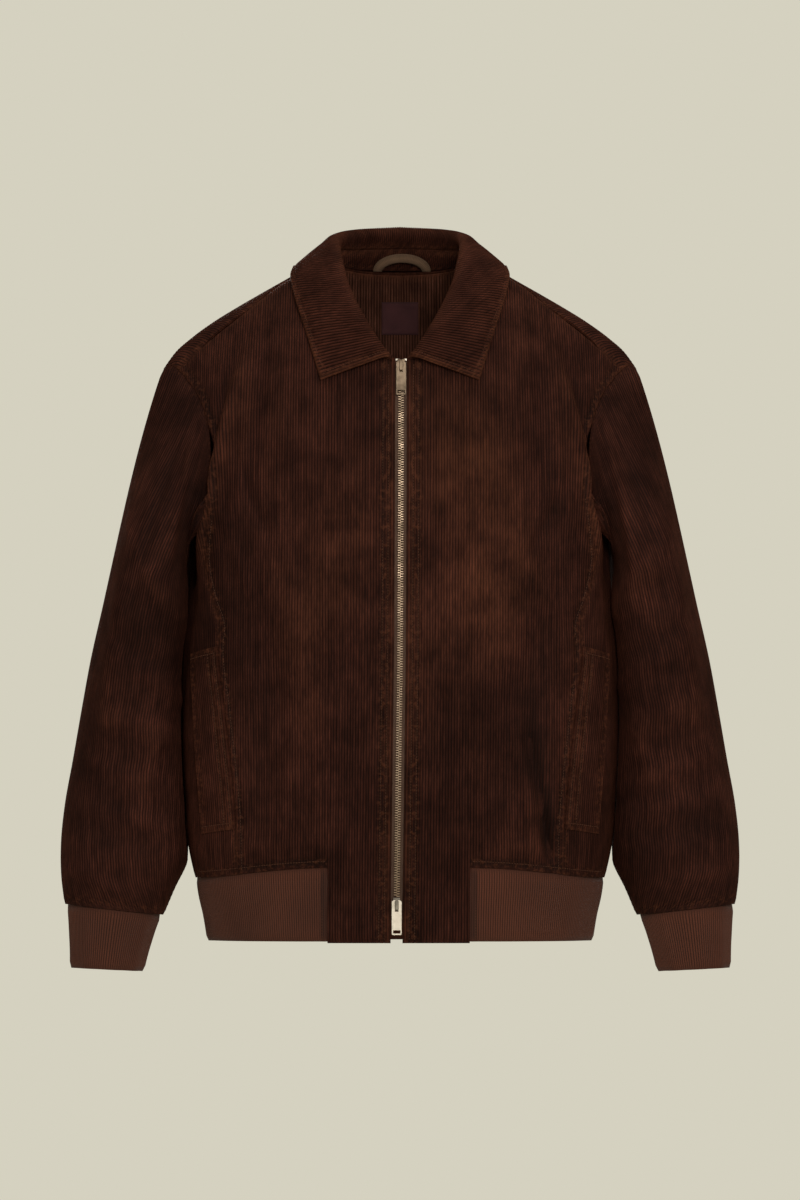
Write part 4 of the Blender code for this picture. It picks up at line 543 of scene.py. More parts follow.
def collar_edge(share):
    """Outer edge of the leaf: over the front it follows the body, behind the ridge it is given."""
    shares, x, z, lift = COLLAR_EDGE.T
    across, climb = place_on_front(x, z)
    front_part = plain_front(across, climb) + surface_normal(plain_front, across, climb) * lift[:, None]
    shares = np.concatenate([shares, COLLAR_BACK_EDGE[:, 0]])
    points = np.concatenate([front_part, COLLAR_BACK_EDGE[:, 1:]])
    return xyz(*(curve(shares, points[:, k], share) for k in range(3)))


# ---- edges of the panels, in pattern positions
def dense(across, climb, count=12):
    """Smooth curve through pattern positions, with the given number of steps from one to the next."""
    knots = np.arange(len(across))
    at = np.linspace(0, len(across) - 1, (len(across) - 1) * count + 1)
    return xyz(curve(knots, across, at), curve(knots, climb, at))


def front_armhole():
    """Across and climb along the front's armhole, from the side seam up to the end of the shoulder seam."""
    corner = run_at(PANEL_SEAM[-1:, 1], np.array([CHEST_LEVEL]))
    across, climb = place_on_front(FRONT_ARMHOLE[:, 0], FRONT_ARMHOLE[:, 1])
    across[-1] = SEAM_TIP
    climb[-1] = climb_to_seam([SEAM_TIP])[0]
    return dense(np.append(corner, across), np.append(CHEST_LEVEL, climb))


def back_armhole():
    """Across and climb along the back's armhole, from the side seam up to the tip of the ridge."""
    climb = CHEST_LEVEL + np.append(0.0, BACK_ARMHOLE[:, 1]) * RISE
    return dense(np.append(BACK_PANEL[-1, 1], BACK_ARMHOLE[:, 0]), climb)


def side_seams():
    """Across and climb along the side panel's front seam and its back seam, from the hem to the chest."""
    level = np.linspace(BACK_HEM, CHEST_LEVEL, 61)
    start = run_at(column_of(PANEL_SEAM, 1, level), level)
    hem = hem_height(start)
    climb = hem + (CHEST_LEVEL - hem) * (level - BACK_HEM) / (CHEST_LEVEL - BACK_HEM)
    return xyz(start, climb), xyz(column_of(BACK_PANEL, 1, level), level)


def front_top():
    """Across and climb along the front's upper edge: neckline, then shoulder seam."""
    neck = np.linspace(FRONT_EDGE, FRONT_NECKLINE[-1, 0], 60)
    neck_climb = climb_to_height(plain_front, neck, column_of(FRONT_NECKLINE, 1, neck))
    shoulder = np.linspace(NECK_POINT + 0.001, SEAM_TIP, 60)
    climb = np.concatenate([neck_climb, [RIDGE_CLIMB], climb_to_seam(shoulder)])
    return xyz(np.concatenate([neck, [NECK_POINT], shoulder]), climb)


def back_top():
    """Across and climb along the back's neckline, from the centre to the neck point."""
    across = np.linspace(0, BACK_NECKLINE[-1, 0], 30)
    climb = climb_to_height(plain_back, across, column_of(BACK_NECKLINE, 1, across))
    return xyz(np.append(across, NECK_POINT), np.append(climb, RIDGE_CLIMB))


FRONT_ARMHOLE_LINE = front_armhole()
BACK_ARMHOLE_LINE = back_armhole()
FRONT_SEAM_LINE, BACK_SEAM_LINE = side_seams()
FRONT_TOP_LINE = front_top()
BACK_TOP_LINE = back_top()
FRONT_SIDE_LINE = np.concatenate([FRONT_SEAM_LINE, FRONT_ARMHOLE_LINE[1:]])
BACK_SIDE_LINE = np.concatenate([BACK_SEAM_LINE, BACK_ARMHOLE_LINE[1:]])


def across_at(line, climb):
    """Distance across of an edge line at a climb."""
    return np.interp(climb, line[:, 1], line[:, 0])


def climb_at(line, across):
    """Climb of an edge line at a distance across."""
    return np.interp(across, line[:, 0], line[:, 1])


def panel_start(climb):
    """Distance round from the centre front to the side panel's front seam."""
    return across_at(FRONT_SEAM_LINE, climb)


def panel_end(climb):
    """Distance round from the centre front to the side panel's back seam."""
    return half_length(np.clip(climb, BACK_HEM, CHEST_LEVEL)) - across_at(BACK_SEAM_LINE, climb)


def away(line, gap, at, steps=0.004):
    """Gap to an edge line, made square to it: the gap times the cosine of the line's slope there."""
    slope = (line(at + steps) - line(at - steps)) / (2 * steps)
    return gap / np.sqrt(1 + slope * slope)


# ---- shells of cloth
def smooth(x):
    """Soft step: 0 below 0, 1 above 1, and level at both ends."""
    x = np.clip(x, 0, 1)
    return x * x * (3 - 2 * x)


def fade(distance, start, over):
    """1 up to a distance, then down to 0 as a soft step."""
    return 1 - smooth((distance - start) / over)


def bump(x):
    """Soft ridge of height 1 at 0, as exp(-x squared)."""
    return np.exp(-x * x)


def kept_columns(used, every):
    """Columns of the hidden side: even steps, both ends, and each place where the used cells change."""
    change = np.nonzero((used[:, 1:] != used[:, :-1]).any(axis=0))[0] + 1
    return np.unique(np.concatenate([np.arange(0, used.shape[1], every), [used.shape[1]], change]))


def shell_triangles(used, kept, closed):
    """Triangles of a closed shell: each cell outside, wider cells inside, and rims between them."""
    rows, columns = used.shape
    width, inner, count = columns + 1, (rows + 1) * (columns + 1), len(kept)
    r, c = np.nonzero(used)
    a, e = r * width + c, (r + 1) * width + c
    parts = [xyz(a, a + 1, e + 1), xyz(a, e + 1, e)]
    r, k = np.nonzero(used[:, kept[:-1]])
    a, e = inner + r * count + k, inner + (r + 1) * count + k
    parts += [xyz(a, e + 1, a + 1), xyz(a, e, e + 1)]
    interval = np.searchsorted(kept, np.arange(columns), side="right") - 1
    middle = (kept[:-1] + kept[1:]) // 2
    nearest = interval + (np.arange(columns) >= middle[interval])
    around = np.pad(used, 1)
    level = ((used & ~around[:-2, 1:-1], 0, 1), (used & ~around[2:, 1:-1], 1, -1))
    for edge, up, turn in level:
        r, c = np.nonzero(edge)
        out = (r + up) * width + c
        parts.append(xyz(out + 1, out, inner + (r + up) * count + nearest[c])[:, ::turn])
        r, k = np.nonzero(edge[:, kept[:-1]])
        out, line = (r + up) * width + middle[k], inner + (r + up) * count + k
        parts.append(xyz(out, line, line + 1)[:, ::turn])
    upright = ((used & ~around[1:-1, 2:], 1, 1), (used & ~around[1:-1, :-2], 0, -1))
    for edge, over, turn in () if closed else upright:
        r, c = np.nonzero(edge)
        out = r * width + c + over
        line = inner + r * count + np.searchsorted(kept, c + over)
        parts.append(xyz(out + width, out, line)[:, ::turn])
        parts.append(xyz(out + width, line, line + count)[:, ::turn])
    return np.concatenate(parts)


def put_object(name, data):
    """Object of that data, in the scene."""
    made = bpy.data.objects.new(name, data)
    bpy.context.scene.collection.objects.link(made)
    return made


def finished(mesh, fields, angle, finish):
    """Object of a mesh: smooth but at edges sharper than the angle, with its fields and its material."""
    for label, data in fields.items():
        vector = data.ndim == 2
        field = mesh.attributes.new(label, "FLOAT_VECTOR" if vector else "FLOAT", "POINT")
        field.data.foreach_set("vector" if vector else "value", data.astype(np.float32).ravel())
    mesh.update(calc_edges=True)
    mesh.shade_smooth()
    mesh.set_sharp_from_angle(angle=np.radians(angle))
    mesh.materials.append(finish)
    return put_object(mesh.name, mesh)


def new_mesh(name, points, triangles, fields, finish):
    """Object of welded triangles: points that coincide become one, and flat triangles go."""
    keys = np.round(points / WELD).astype(np.int64)
    _, first, place = np.unique(keys, axis=0, return_index=True, return_inverse=True)
    triangles = place.reshape(-1)[triangles]
    a, b, c = triangles.T
    triangles = triangles[(a != b) & (b != c) & (c != a)]
    needed, triangles = np.unique(triangles, return_inverse=True)
    first = first[needed]
    mesh = bpy.data.meshes.new(name)
    mesh.vertices.add(len(first))
    mesh.vertices.foreach_set("co", points[first].astype(np.float32).ravel())
    mesh.loops.add(triangles.size)
    mesh.loops.foreach_set("vertex_index", triangles.astype(np.int32).ravel())
    mesh.polygons.add(triangles.size // 3)
    mesh.polygons.foreach_set("loop_start", np.arange(0, triangles.size, 3, dtype=np.int32))
    return finished(mesh, {label: data[first] for label, data in fields.items()}, 70, finish)


def cloth(name, face, normal, lift, wall, fields, finish, used=None, closed=False, every=16):
    """Shell of cloth: the face plus lift along the normal, and a hidden side a wall's thickness behind."""
    rows, columns = face.shape[:2]
    used = np.ones((rows - 1, columns - 1), bool) if used is None else used
    kept = kept_columns(used, every)
    outer = face + normal * lift[..., None]
    inner = face[:, kept] - normal[:, kept] * wall
    points = np.concatenate([outer.reshape(-1, 3), inner.reshape(-1, 3)])
    triangles = shell_triangles(used, kept, closed)
    shown = triangles[: used.sum() * 2]
    a, b, c = points[shown.T]
    if (np.cross(b - a, c - a) * normal.reshape(-1, 3)[shown[:, 0]]).sum() <= 0:
        triangles = triangles[:, ::-1]
    both = lambda data: np.concatenate([part.reshape(-1, *data.shape[2:]) for part in (data, data[:, kept])])
    return new_mesh(name, points, triangles, {label: both(data) for label, data in fields.items()}, finish)


def inside(distance):
    """Share of a wale's height that is left near an edge: none within 0.3 mm of it, all from 1.7 mm on."""
    return smooth((distance - 0.0003) / 0.0014)


def wales_over(nearest, profile=WALE_PROFILE):
    """Height of the wale or rib, four columns each, fading where an edge is near."""
    return profile[np.arange(nearest.shape[1]) % 4][None, :] * inside(nearest)


def fields_of(across, climb, wave, nearest, rubbed=0.0, sewn=0.0):
    """What corduroy reads: place and wale, which fades to a middle tone at an edge, wear with painted light
    and shade, and how sewn.
    """
    return plain_fields(across, climb, wave + 0.62 * (1 - inside(nearest)), rubbed, sewn)


def plain_fields(across, climb, wave, rubbed=0.0, sewn=0.0):
    """What the materials read: place on the cloth and height of the wale, wear with painted light and shade,
    and how puckered.
    """
    across, climb, wave, rubbed, sewn = np.broadcast_arrays(across, climb, wave, rubbed, sewn)
    return {"weave": xyz(across, climb, wave), "rubbed": rubbed, "sewn": sewn}


def fold_light_and_shade(rise):
    """Painted light and shade of a fold: a painted highlight on its ridge, painted shade in its trough, most
    from 4 mm on.
    """
    return np.clip(rise / 0.004, -1, 1)


def sewn_near(*distances):
    """How far stitches pucker the cloth: 1 on a row of stitches or a seam, fading over 4 mm."""
    return np.minimum(sum(bump(d / 0.0035) for d in distances), 1.0)


def spots_lighter_and_shaded_at(side, run, height):
    """Sum of soft round spots: lighter nap where the amount is positive, painted shade where it is negative.
    """
    total = np.zeros_like(run)
    for spot_side, a, h, half_a, half_h, amount in SPOTS_LIGHTER_AND_SHADED:
        spot = amount * np.exp(-(((run - a) / half_a) ** 2) - ((height - h) / half_h) ** 2)
        total += np.where(side == spot_side, spot, 0)
    return total


def seam_dip(*distances):
    """How far cloth turns in at seams: most at the edge and none from 3 mm on."""
    return -0.0004 * sum(fade(d, 0, 0.0025) for d in distances)


def fold_roll(distance):
    """How far cloth rounds away at a folded edge, over 1.5 mm."""
    return -0.0007 * fade(distance, 0, 0.0015) ** 2


def stitch_press(*distances):
    """Furrow that rows of stitches pull into the cloth."""
    return -0.00040 * sum(bump(d / 0.0011) for d in distances)


def turned_in(distance, row, rise=0.0004):
    """Rise of the cloth over what is turned in at an edge, as far as its row of stitches."""
    return rise * fade(distance - row, 0.0006, 0.0012)


def creased(side, a, c):
    """Front with its creases: face, normal, and the painted light and shade that folds and creases give its
    colour.
    """
    crease = fold_rise(BODY_CREASES, side, a, c)
    normal = front_normal(side * a, c)
    # painted light and shade of folds and creases: lighter on their ridges, darker in their troughs
    nap = fold_light_and_shade(crease + fold_rise(BODY_FOLDS, side, a, c)) * FOLD_SHADE
    return front(side * a, c) + normal * crease[..., None], normal, nap


def levels_between(low, high):
    """Even heights a row apart."""
    return np.linspace(low, high, round((high - low) / ROW) + 1)


# ---- pieces of the body
def make_front(name, side, sizes, finish):
    """Front: distance across from the folded edge to the side seam, climb from the tab's end to the top.

    Columns follow the wales, and both coordinates stop at the panel's edge lines.
    """
    step = sizes.wale_pitch / 4
    across = np.arange(FRONT_EDGE, SEAM_TIP + step, step)
    tab = int(np.argmin(np.abs(across - TAB_WIDTH)))
    across[tab] = TAB_WIDTH
    low = np.linspace(TAB_END, FRONT_HEM, 14)
    a, c = np.meshgrid(across, np.concatenate([low, levels_between(FRONT_HEM, RIDGE_CLIMB)[1:]]))
    used = np.ones((c.shape[0] - 1, c.shape[1] - 1), bool)
    used[: len(low) - 1, tab:] = False
    side_line = lambda climb: across_at(FRONT_SIDE_LINE, climb)
    top_line = lambda x: climb_at(FRONT_TOP_LINE, x)
    a = np.minimum(a, side_line(c))
    drop = hem_height(a) - FRONT_HEM
    c = c + drop * fade(c, FRONT_HEM, HEM_SHIFT) + SEAM_GAP * (a > TAB_WIDTH) * (c < FRONT_HEM + 0.001)
    a = np.minimum(a, side_line(c) - SEAM_GAP / 2)
    c = np.minimum(c, top_line(a) - SEAM_GAP / 5)
    to_side = away(side_line, side_line(c) - a, c)
    to_top = away(top_line, top_line(a) - c, a)
    to_hem = np.where(a > TAB_WIDTH, c - hem_height(a), 1.0)
    to_tab = np.where(c < FRONT_HEM + 0.002, TAB_WIDTH - a, 1.0)
    to_edge = np.minimum(a - FRONT_EDGE, c - TAB_END)
    nearest = least(to_side, to_top, np.abs(to_hem), np.abs(to_tab), to_edge)
    wave = wales_over(nearest)
    rows = [np.abs(a - x) for x in FRONT_STITCH]
    rows += [np.abs(to_hem - HEM_STITCH), np.abs(to_side - SIDE_STITCH)]
    flat = 1 - 0.45 * sum(bump(d / 0.0016) for d in rows)
    lift = sizes.wale_height * wave * flat + stitch_press(*rows)
    lift += turned_in(to_hem, HEM_STITCH) + turned_in(to_side, SIDE_STITCH, 0.0005)
    lift += seam_dip(to_side, np.abs(to_hem)) + 0.5 * seam_dip(to_top) + fold_roll(to_edge)
    face, normal, rub_and_painted_light = creased(side, a, c)
    # painted light and shade of folds and creases, lighter and shaded spots, and lighter nap along the front
    # edge and the seams
    rub_and_painted_light = rub_and_painted_light + spots_lighter_and_shaded_at(side, a, c) + 0.35 * bump((a - 0.0085) / 0.006)
    rub_and_painted_light = rub_and_painted_light + 0.22 * bump(to_side / 0.004) + 0.25 * bump(to_top / 0.004)
    sewn = sewn_near(*rows, to_hem - PUCKER, to_side - PUCKER, to_top - PUCKER)
    fields = fields_of(a, c, wave * flat, nearest, rub_and_painted_light, sewn)
    return cloth(name, face, normal, lift, CLOTH, fields, finish, used)


def make_side(name, side, sizes, finish):
    """Side panel: distance round from its front seam to its back seam, climb from the hem to the armhole."""
    step = sizes.wale_pitch / 4
    levels = levels_between(BACK_HEM, CHEST_LEVEL)
    a, c = np.meshgrid(np.arange(panel_start(levels).min(), panel_end(levels).max() + step, step), levels)
    within = lambda a, c: np.clip(a, panel_start(c) + SEAM_GAP / 2, panel_end(c) - SEAM_GAP / 2)
    a = within(a, c)
    c = c + (hem_height(a) - BACK_HEM) * fade(c, BACK_HEM, HEM_SHIFT)
    a = within(a, c)
    first, last = panel_start(CHEST_LEVEL), panel_end(CHEST_LEVEL)
    top_line = lambda x: underarm_height(np.clip((x - first) / (last - first), 0, 1))
    c = np.minimum(c, top_line(a) - SEAM_GAP / 2)
    to_start, to_end = a - panel_start(c), panel_end(c) - a
    to_top, to_hem = away(top_line, top_line(a) - c, a), c - hem_height(a)
    seams = (to_start, to_end, to_top, to_hem)
    nearest = least(*seams)
    wave = wales_over(nearest)
    lift = sizes.wale_height * wave + stitch_press(to_hem - HEM_STITCH) + turned_in(to_hem, HEM_STITCH)
    lift += seam_dip(*seams)
    face, normal, rub_and_painted_light = creased(side, a, c)
    # painted shade: the whole side panel a little darker, and lighter along its front seam
    rub_and_painted_light = rub_and_painted_light - 0.10 + 0.40 * bump(to_start / 0.005)
    sewn = sewn_near(to_hem - HEM_STITCH, *(d - PUCKER for d in seams))
    return cloth(name, face, normal, lift, CLOTH, fields_of(a, c, wave, nearest, rub_and_painted_light, sewn), finish)


def strip_place(across, run):
    """Where a wale lies on the back's overlap, a run past the ridge: its foot on the ridge and its share.

    The wale leans 31 degrees toward the neck there, as the cloth folds over the sloping ridge.
    """
    foot = np.clip(across - STRIP_LEAN[0] * run, NECK_POINT, SHOULDER_TIP)
    share = (foot - NECK_POINT) / (SHOULDER_TIP - NECK_POINT)
    width = np.interp(share, STRIP_SHARES, STRIP_WIDTHS)
    return share, np.where(width > 1e-5, STRIP_LEAN[1] * run / np.maximum(width, 1e-5), 1.0)


def strip_point(share, over):
    """Across and climb on the front of a point of the overlap: part of the way from ridge to seam."""
    on_ridge = NECK_POINT + share * (SHOULDER_TIP - NECK_POINT)
    on_seam = NECK_POINT + share * (SEAM_TIP - NECK_POINT)
    climb = RIDGE_CLIMB + (climb_at(FRONT_TOP_LINE, on_seam) - RIDGE_CLIMB) * over
    return on_ridge + (on_seam - on_ridge) * over, climb


def strip_widths():
    """Width of the overlap at even shares of the shoulder, from the neck point to the tip."""
    share = np.linspace(0, 1, 81)
    ends = [front(*strip_point(share, np.full_like(share, over))) for over in (0.0, 1.0)]
    return share, np.linalg.norm(ends[1] - ends[0], axis=-1)


STRIP_SHARES, STRIP_WIDTHS = strip_widths()


def make_back(name, sizes, finish):
    """Back: distance across from the centre on both sides, climb to the ridge, then a run forward over it."""
    step = sizes.wale_pitch / 4
    half = round(BACK_REACH / step / 4) * 4
    across = np.arange(-half, half + 1) * step
    side_line = lambda climb: across_at(BACK_SIDE_LINE, climb)
    top_line = lambda x: np.where(x < NECK_POINT, climb_at(BACK_TOP_LINE, x), 1.0)
    a, c = np.meshgrid(np.abs(across), levels_between(BACK_HEM, RIDGE_CLIMB))
    sign = np.where(across < 0, -1.0, 1.0)[None, :]
    a = np.minimum(a, side_line(c) - SEAM_GAP / 2)
    c = np.minimum(np.maximum(c, BACK_HEM + SEAM_GAP / 2), top_line(a))
    face, normal = back(sign * a, c), back_normal(sign * a, c)
    runs = np.linspace(0, OVERLAP_RUN, 8)[1:, None]
    wide = np.abs(across)[None, :]
    limit = np.full_like(wide, runs[-1, 0])
    for _ in range(60):
        share, over = strip_place(wide, limit)
        limit = limit * np.minimum(1.0, 1.0 / np.maximum(over, 1e-6))
    run = np.minimum(runs, limit)
    share, over = strip_place(wide, run)
    share, over = np.broadcast_arrays(share, np.minimum(over, 1.0))
    over = over * (1 - SEAM_GAP / 0.05)
    strip_a, strip_c = strip_point(share, over)
    strip, strip_normal = front(sign * strip_a, strip_c), front_normal(sign * strip_a, strip_c)
    neck = np.broadcast_to(wide < NECK_POINT, strip_a.shape)
    strip = np.where(neck[..., None], face[-1:], strip)
    strip_normal = np.where(neck[..., None], normal[-1:], strip_normal)
    to_seam = np.where(neck, 0.0, (1 - over) * np.interp(share, STRIP_SHARES, STRIP_WIDTHS))
    to_side = away(side_line, side_line(c) - a, c)
    to_side = np.concatenate([to_side, (1 - share) * (SHOULDER_TIP - NECK_POINT)])
    to_top = np.concatenate([np.where(a < NECK_POINT, top_line(a) - c, 1.0), to_seam])
    to_hem = np.concatenate([c - BACK_HEM, np.ones_like(to_seam)])
    face, normal = np.concatenate([face, strip]), unit(np.concatenate([normal, strip_normal]))
    round_body = half_length(np.minimum(c, CHEST_LEVEL)) - a
    crease = fold_rise(BODY_CREASES, sign, round_body, c)
    crease = np.concatenate([crease, np.zeros_like(to_seam)])
    nearest = least(to_side, to_top, to_hem)
    wave = wales_over(nearest)
    lift = sizes.wale_height * wave + stitch_press(to_hem - HEM_STITCH) + turned_in(to_hem, HEM_STITCH)
    lift += seam_dip(to_side, to_hem) + 0.5 * seam_dip(to_top)
    face = face + normal * crease[..., None]
    # painted light and shade of the back's creases, and lighter nap along its seams
    rub_and_painted_light = fold_light_and_shade(crease) * FOLD_SHADE + 0.25 * bump(to_side / 0.003) + 0.30 * bump(to_top / 0.004)
    along = np.concatenate([c, RIDGE_CLIMB + np.broadcast_to(run, strip_a.shape)])
    sewn = sewn_near(to_hem - HEM_STITCH, to_hem - PUCKER, to_side - PUCKER, to_top - PUCKER)
    return cloth(name, face, normal, lift, CLOTH, fields_of(across, along, wave, nearest, rub_and_painted_light, sewn), finish)


# ---- sleeves and ribs
def armhole_loop(side):
    """Points and body normals of the armhole: front from the seam tip, under the arm, back, overlap."""
    share, over = np.linspace(0, 1, 61), np.linspace(0, 1, 13)
    first, last = panel_start(CHEST_LEVEL), panel_end(CHEST_LEVEL)
    parts = (
        (front, front_normal, FRONT_ARMHOLE_LINE[::-1].T),
        (front, front_normal, (first + (last - first) * share, underarm_height(share))),
        (back, back_normal, BACK_ARMHOLE_LINE.T),
        (front, front_normal, strip_point(np.ones_like(over), over)),
    )
    points = [surface(side * a, c)[:-1] for surface, _, (a, c) in parts]
    normals = [normal_of(side * a, c)[:-1] for _, normal_of, (a, c) in parts]
    return np.concatenate(points), np.concatenate(normals), sum(map(len, points[:3])), len(points[0]) + 30


def loop_shares(points, start, bottom):
    """Share of the way from the tip to the underarm for each point: front positive, back negative."""
    run = run_along(np.concatenate([points, points[:1]]))
    total, run = run[-1], run[:-1]
    from_tip = (run - run[start]) % total
    half = from_tip[bottom]
    return np.where(from_tip <= half + 1e-9, from_tip / half, -(total - from_tip) / (total - half))


def round_normal(grid, side):
    """Unit normals of a grid of closed rings, from its two slopes, the same at both ends of a ring."""
    normal = unit(np.cross(np.gradient(grid, axis=1), np.gradient(grid, axis=0)) * side)
    return normal, unit(normal[:, 0] + normal[:, -1])


def sleeve_surface(side):
    """Points and normals of a sleeve: Hermite arcs from the armhole to the first ring, then rings."""
    points, normals, tip, bottom = armhole_loop(side)
    hole = loop_shares(points, tip, bottom)
    share = np.sign(hole) * np.interp(np.abs(hole), SLEEVE_SHARE[:, 1], SLEEVE_SHARE[:, 0])
    order = np.argsort(share, kind="stable")
    order = np.append(order[-1], order)
    points, normals, share = points[order], normals[order], share[order]
    share[0] = -1.0
    start, end_height = SLEEVE_SECTIONS[0, 0], SLEEVE_SECTIONS[-1, 0]
    level = np.full_like(share, start)
    end = sleeve_ring(share, level, side)
    arrive = (sleeve_ring(share, level - STEP, side) - end) / STEP
    leave = sleeve_tangent(share, side)
    span = np.linalg.norm(end - points, axis=1)[:, None]
    f = np.linspace(0, 1, 31)[:, None, None]
    cap = points * (1 + 2 * f) * (1 - f) ** 2 + leave * span * f * (1 - f) ** 2
    cap = cap + end * f * f * (3 - 2 * f) - arrive * span * f * f * (1 - f)
    heights = np.linspace(start, end_height, round((start - end_height) / 0.0052) + 1)[1:]
    tube = np.array([sleeve_ring(share, np.full_like(share, h), side) for h in heights])
    grid = np.concatenate([cap, tube])
    shares = np.broadcast_to(share, grid.shape[:2])
    folds = SLEEVE_FOLDS + SLEEVE_CREASES
    rise = fold_rise(folds, side, shares, grid[..., 2], SLEEVE_HALF_ROUND)
    rise = rise * smooth(np.arange(len(grid)) / 6)[:, None]
    rise -= (rise[:, -1:] - rise[:, :1]) / 2 * np.sign(share) * smooth((np.abs(share) - 0.8) / 0.2)
    rise[:, 0] = rise[:, -1]
    grid = grid + round_normal(grid, side)[0] * rise[..., None]
    normal = round_normal(grid, side)[0]
    normal[:3] = unit(normal[:3] + normals * np.array([1.0, 0.5, 0.2])[:, None, None])
    normal[:, 0] = normal[:, -1] = unit(normal[:, 0] + normal[:, -1])
    grid[:, -1] = grid[:, 0]
    return grid, normal, share, rise


def along_rows(grid, place, target):
    """Points of each row at the given distances along it."""
    return np.array([on_line(row, p, t) for row, p, t in zip(grid, place, target)])


def make_sleeve(name, side, sizes, finish):
    """Sleeve: columns at equal distances from the outer line, so the wales run into the underarm seam."""
    grid, normal, share, rise = sleeve_surface(side)
    run = run_along(grid, 1)
    place = run - np.array([np.interp(0.0, share, r) for r in run])[:, None]
    step = sizes.wale_pitch / 4
    half = int(np.ceil(max(-place[:, 0].min(), place[:, -1].max()) / step / 4)) * 4
    offsets = np.arange(-half, half + 1) * step
    target = np.clip(offsets[None, :], place[:, :1], place[:, -1:])
    face, normal = along_rows(grid, place, target), unit(along_rows(normal, place, target))
    rise = along_rows(xyz(rise, rise, rise), place, target)[..., 0]
    down = run_along(face)
    to_cuff = down[-1:] - down
    to_seam = np.minimum(target - place[:, :1], place[:, -1:] - target)
    nearest = least(down, to_cuff, to_seam)
    wave = wales_over(nearest)
    lift = sizes.wale_height * wave + seam_dip(down, to_seam) + 0.6 * seam_dip(to_cuff)
    face[0] += unit(face[1] - face[0]) * SEAM_GAP
    # lighter patches at the top of the cap and behind the elbow; then painted shade over the whole sleeve
    # (-0.18), the painted light and shade of its folds, and lighter nap at the armhole seam
    worn_and_painted_light = 0.25 * bump((down - 0.05) / 0.03) * bump(target / 0.06)
    worn_and_painted_light = worn_and_painted_light + 0.3 * bump((down - 0.28) / 0.05) * bump((target + 0.06) / 0.04)
    worn_and_painted_light = 0.5 * worn_and_painted_light - 0.18 + 0.25 * bump(down / 0.003) + fold_light_and_shade(rise) * 0.34
    sewn = sewn_near(down - PUCKER, to_cuff - 0.003, to_cuff - 0.008, to_seam - PUCKER)
    fields = fields_of(offsets, -down, wave, nearest, worn_and_painted_light, sewn)
    return cloth(name, face, normal, lift, CLOTH, fields, finish, closed=True)


def rib_tone(wave, nearest):
    """Height of the rib for its colour, with a middle value at an edge."""
    return wave + 0.5 * (1 - inside(nearest))


def make_hem_rib(name, sizes, finish):
    """Hem rib: level rings from tab to tab round the back, raised at every rib."""
    start = TAB_WIDTH + SEAM_GAP
    length = 2 * (float(half_length(BACK_HEM)) - start)
    count = 4 * round(length / sizes.rib_pitch / 4)
    share = np.linspace(0, 1, 4 * count + 1)[None, :]
    row = np.linspace(0, 1, 13)[:, None]
    round_half = 2 * np.minimum(share, 1 - share)
    side = np.where(share < 0.5, 1.0, -1.0) * np.ones_like(row)
    hem = hem_height(start + (half_length(BACK_HEM) - start) * round_half) - SEAM_GAP / 2
    level = hem + (HEM_END - hem) * row
    run = start + (half_length(level) - start) * round_half
    face, normal = plain_front(side * run, level), surface_normal(plain_front, side * run, level)
    to_top, to_end, to_tab = hem - level, level - HEM_END, run - start
    nearest = least(to_top, to_end + 0.0006, to_tab)
    band = fade(to_tab, 0.0066, 0.001)
    wave = wales_over(nearest, RIB_PROFILE) * (1 - 0.6 * band)
    pull = 0.0010 * (bump((to_top - 0.020) / 0.014) - 0.7 * bump(to_top / 0.006))
    ripple = 0.0006 * np.sin(run * 61 + 2 * np.sin(run * 23)) * smooth(to_tab / 0.03) * (0.4 + 0.6 * row)
    lift = -0.0010 + sizes.rib_height * wave + pull + ripple + 0.0004 * band
    lift += stitch_press(to_tab - TAB_STITCH)
    lift += fold_roll(to_end) + 0.8 * seam_dip(to_top) + seam_dip(to_tab)
    fields = plain_fields(share * length, level, rib_tone(wave, nearest))
    return cloth(name, face, normal, lift, KNIT + 0.0010, fields, finish, every=32)


def make_cuff(name, side, sizes, finish):
    """Cuff: rings of its own table, raised at every rib."""
    top, inner, outer, front_depth, back_depth, _ = CUFF_SECTIONS[0]
    length = np.pi * (outer - inner + front_depth + back_depth) / 2
    count = 4 * round(length / sizes.rib_pitch / 4)
    share = np.linspace(-1, 1, 4 * count + 1)
    heights = np.linspace(top, CUFF_SECTIONS[-1, 0], 11)
    face = np.array([sleeve_ring(share, np.full_like(share, h), side, CUFF_SECTIONS) for h in heights])
    normal, seam = round_normal(face, side)
    normal[:, 0] = normal[:, -1] = seam
    face[:, -1] = face[:, 0]
    to_top, to_end = (heights[0] - heights)[:, None], (heights - heights[-1])[:, None]
    nearest = np.minimum(to_top, to_end + 0.0006) + 0 * share
    wave = wales_over(nearest, RIB_PROFILE)
    pull = 0.0009 * bump((to_top - 0.024) / 0.016) - 0.0006 * bump(to_top / 0.005)
    ripple = 0.0005 * np.sin(share * 9 * np.pi + 1.3 * side)[None, :]
    lift = sizes.rib_height * wave + pull + ripple * (to_top > 0) + fold_roll(to_end)
    fields = plain_fields(share * length / 2, -to_top, rib_tone(wave, nearest))
    return cloth(name, face, normal, lift, KNIT, fields, finish, closed=True, every=32)


# ---- collar
def neckline(side):
    """Points of the neckline from the front end to the centre back, and their shares of its length."""
    ahead = FRONT_TOP_LINE[FRONT_TOP_LINE[:, 0] <= NECK_POINT + 1e-6].T
    behind = BACK_TOP_LINE[-2::-1].T
    points = np.concatenate([front(side * ahead[0], ahead[1]), back(side * behind[0], behind[1])])
    run = run_along(points)
    return points, run / run[-1]


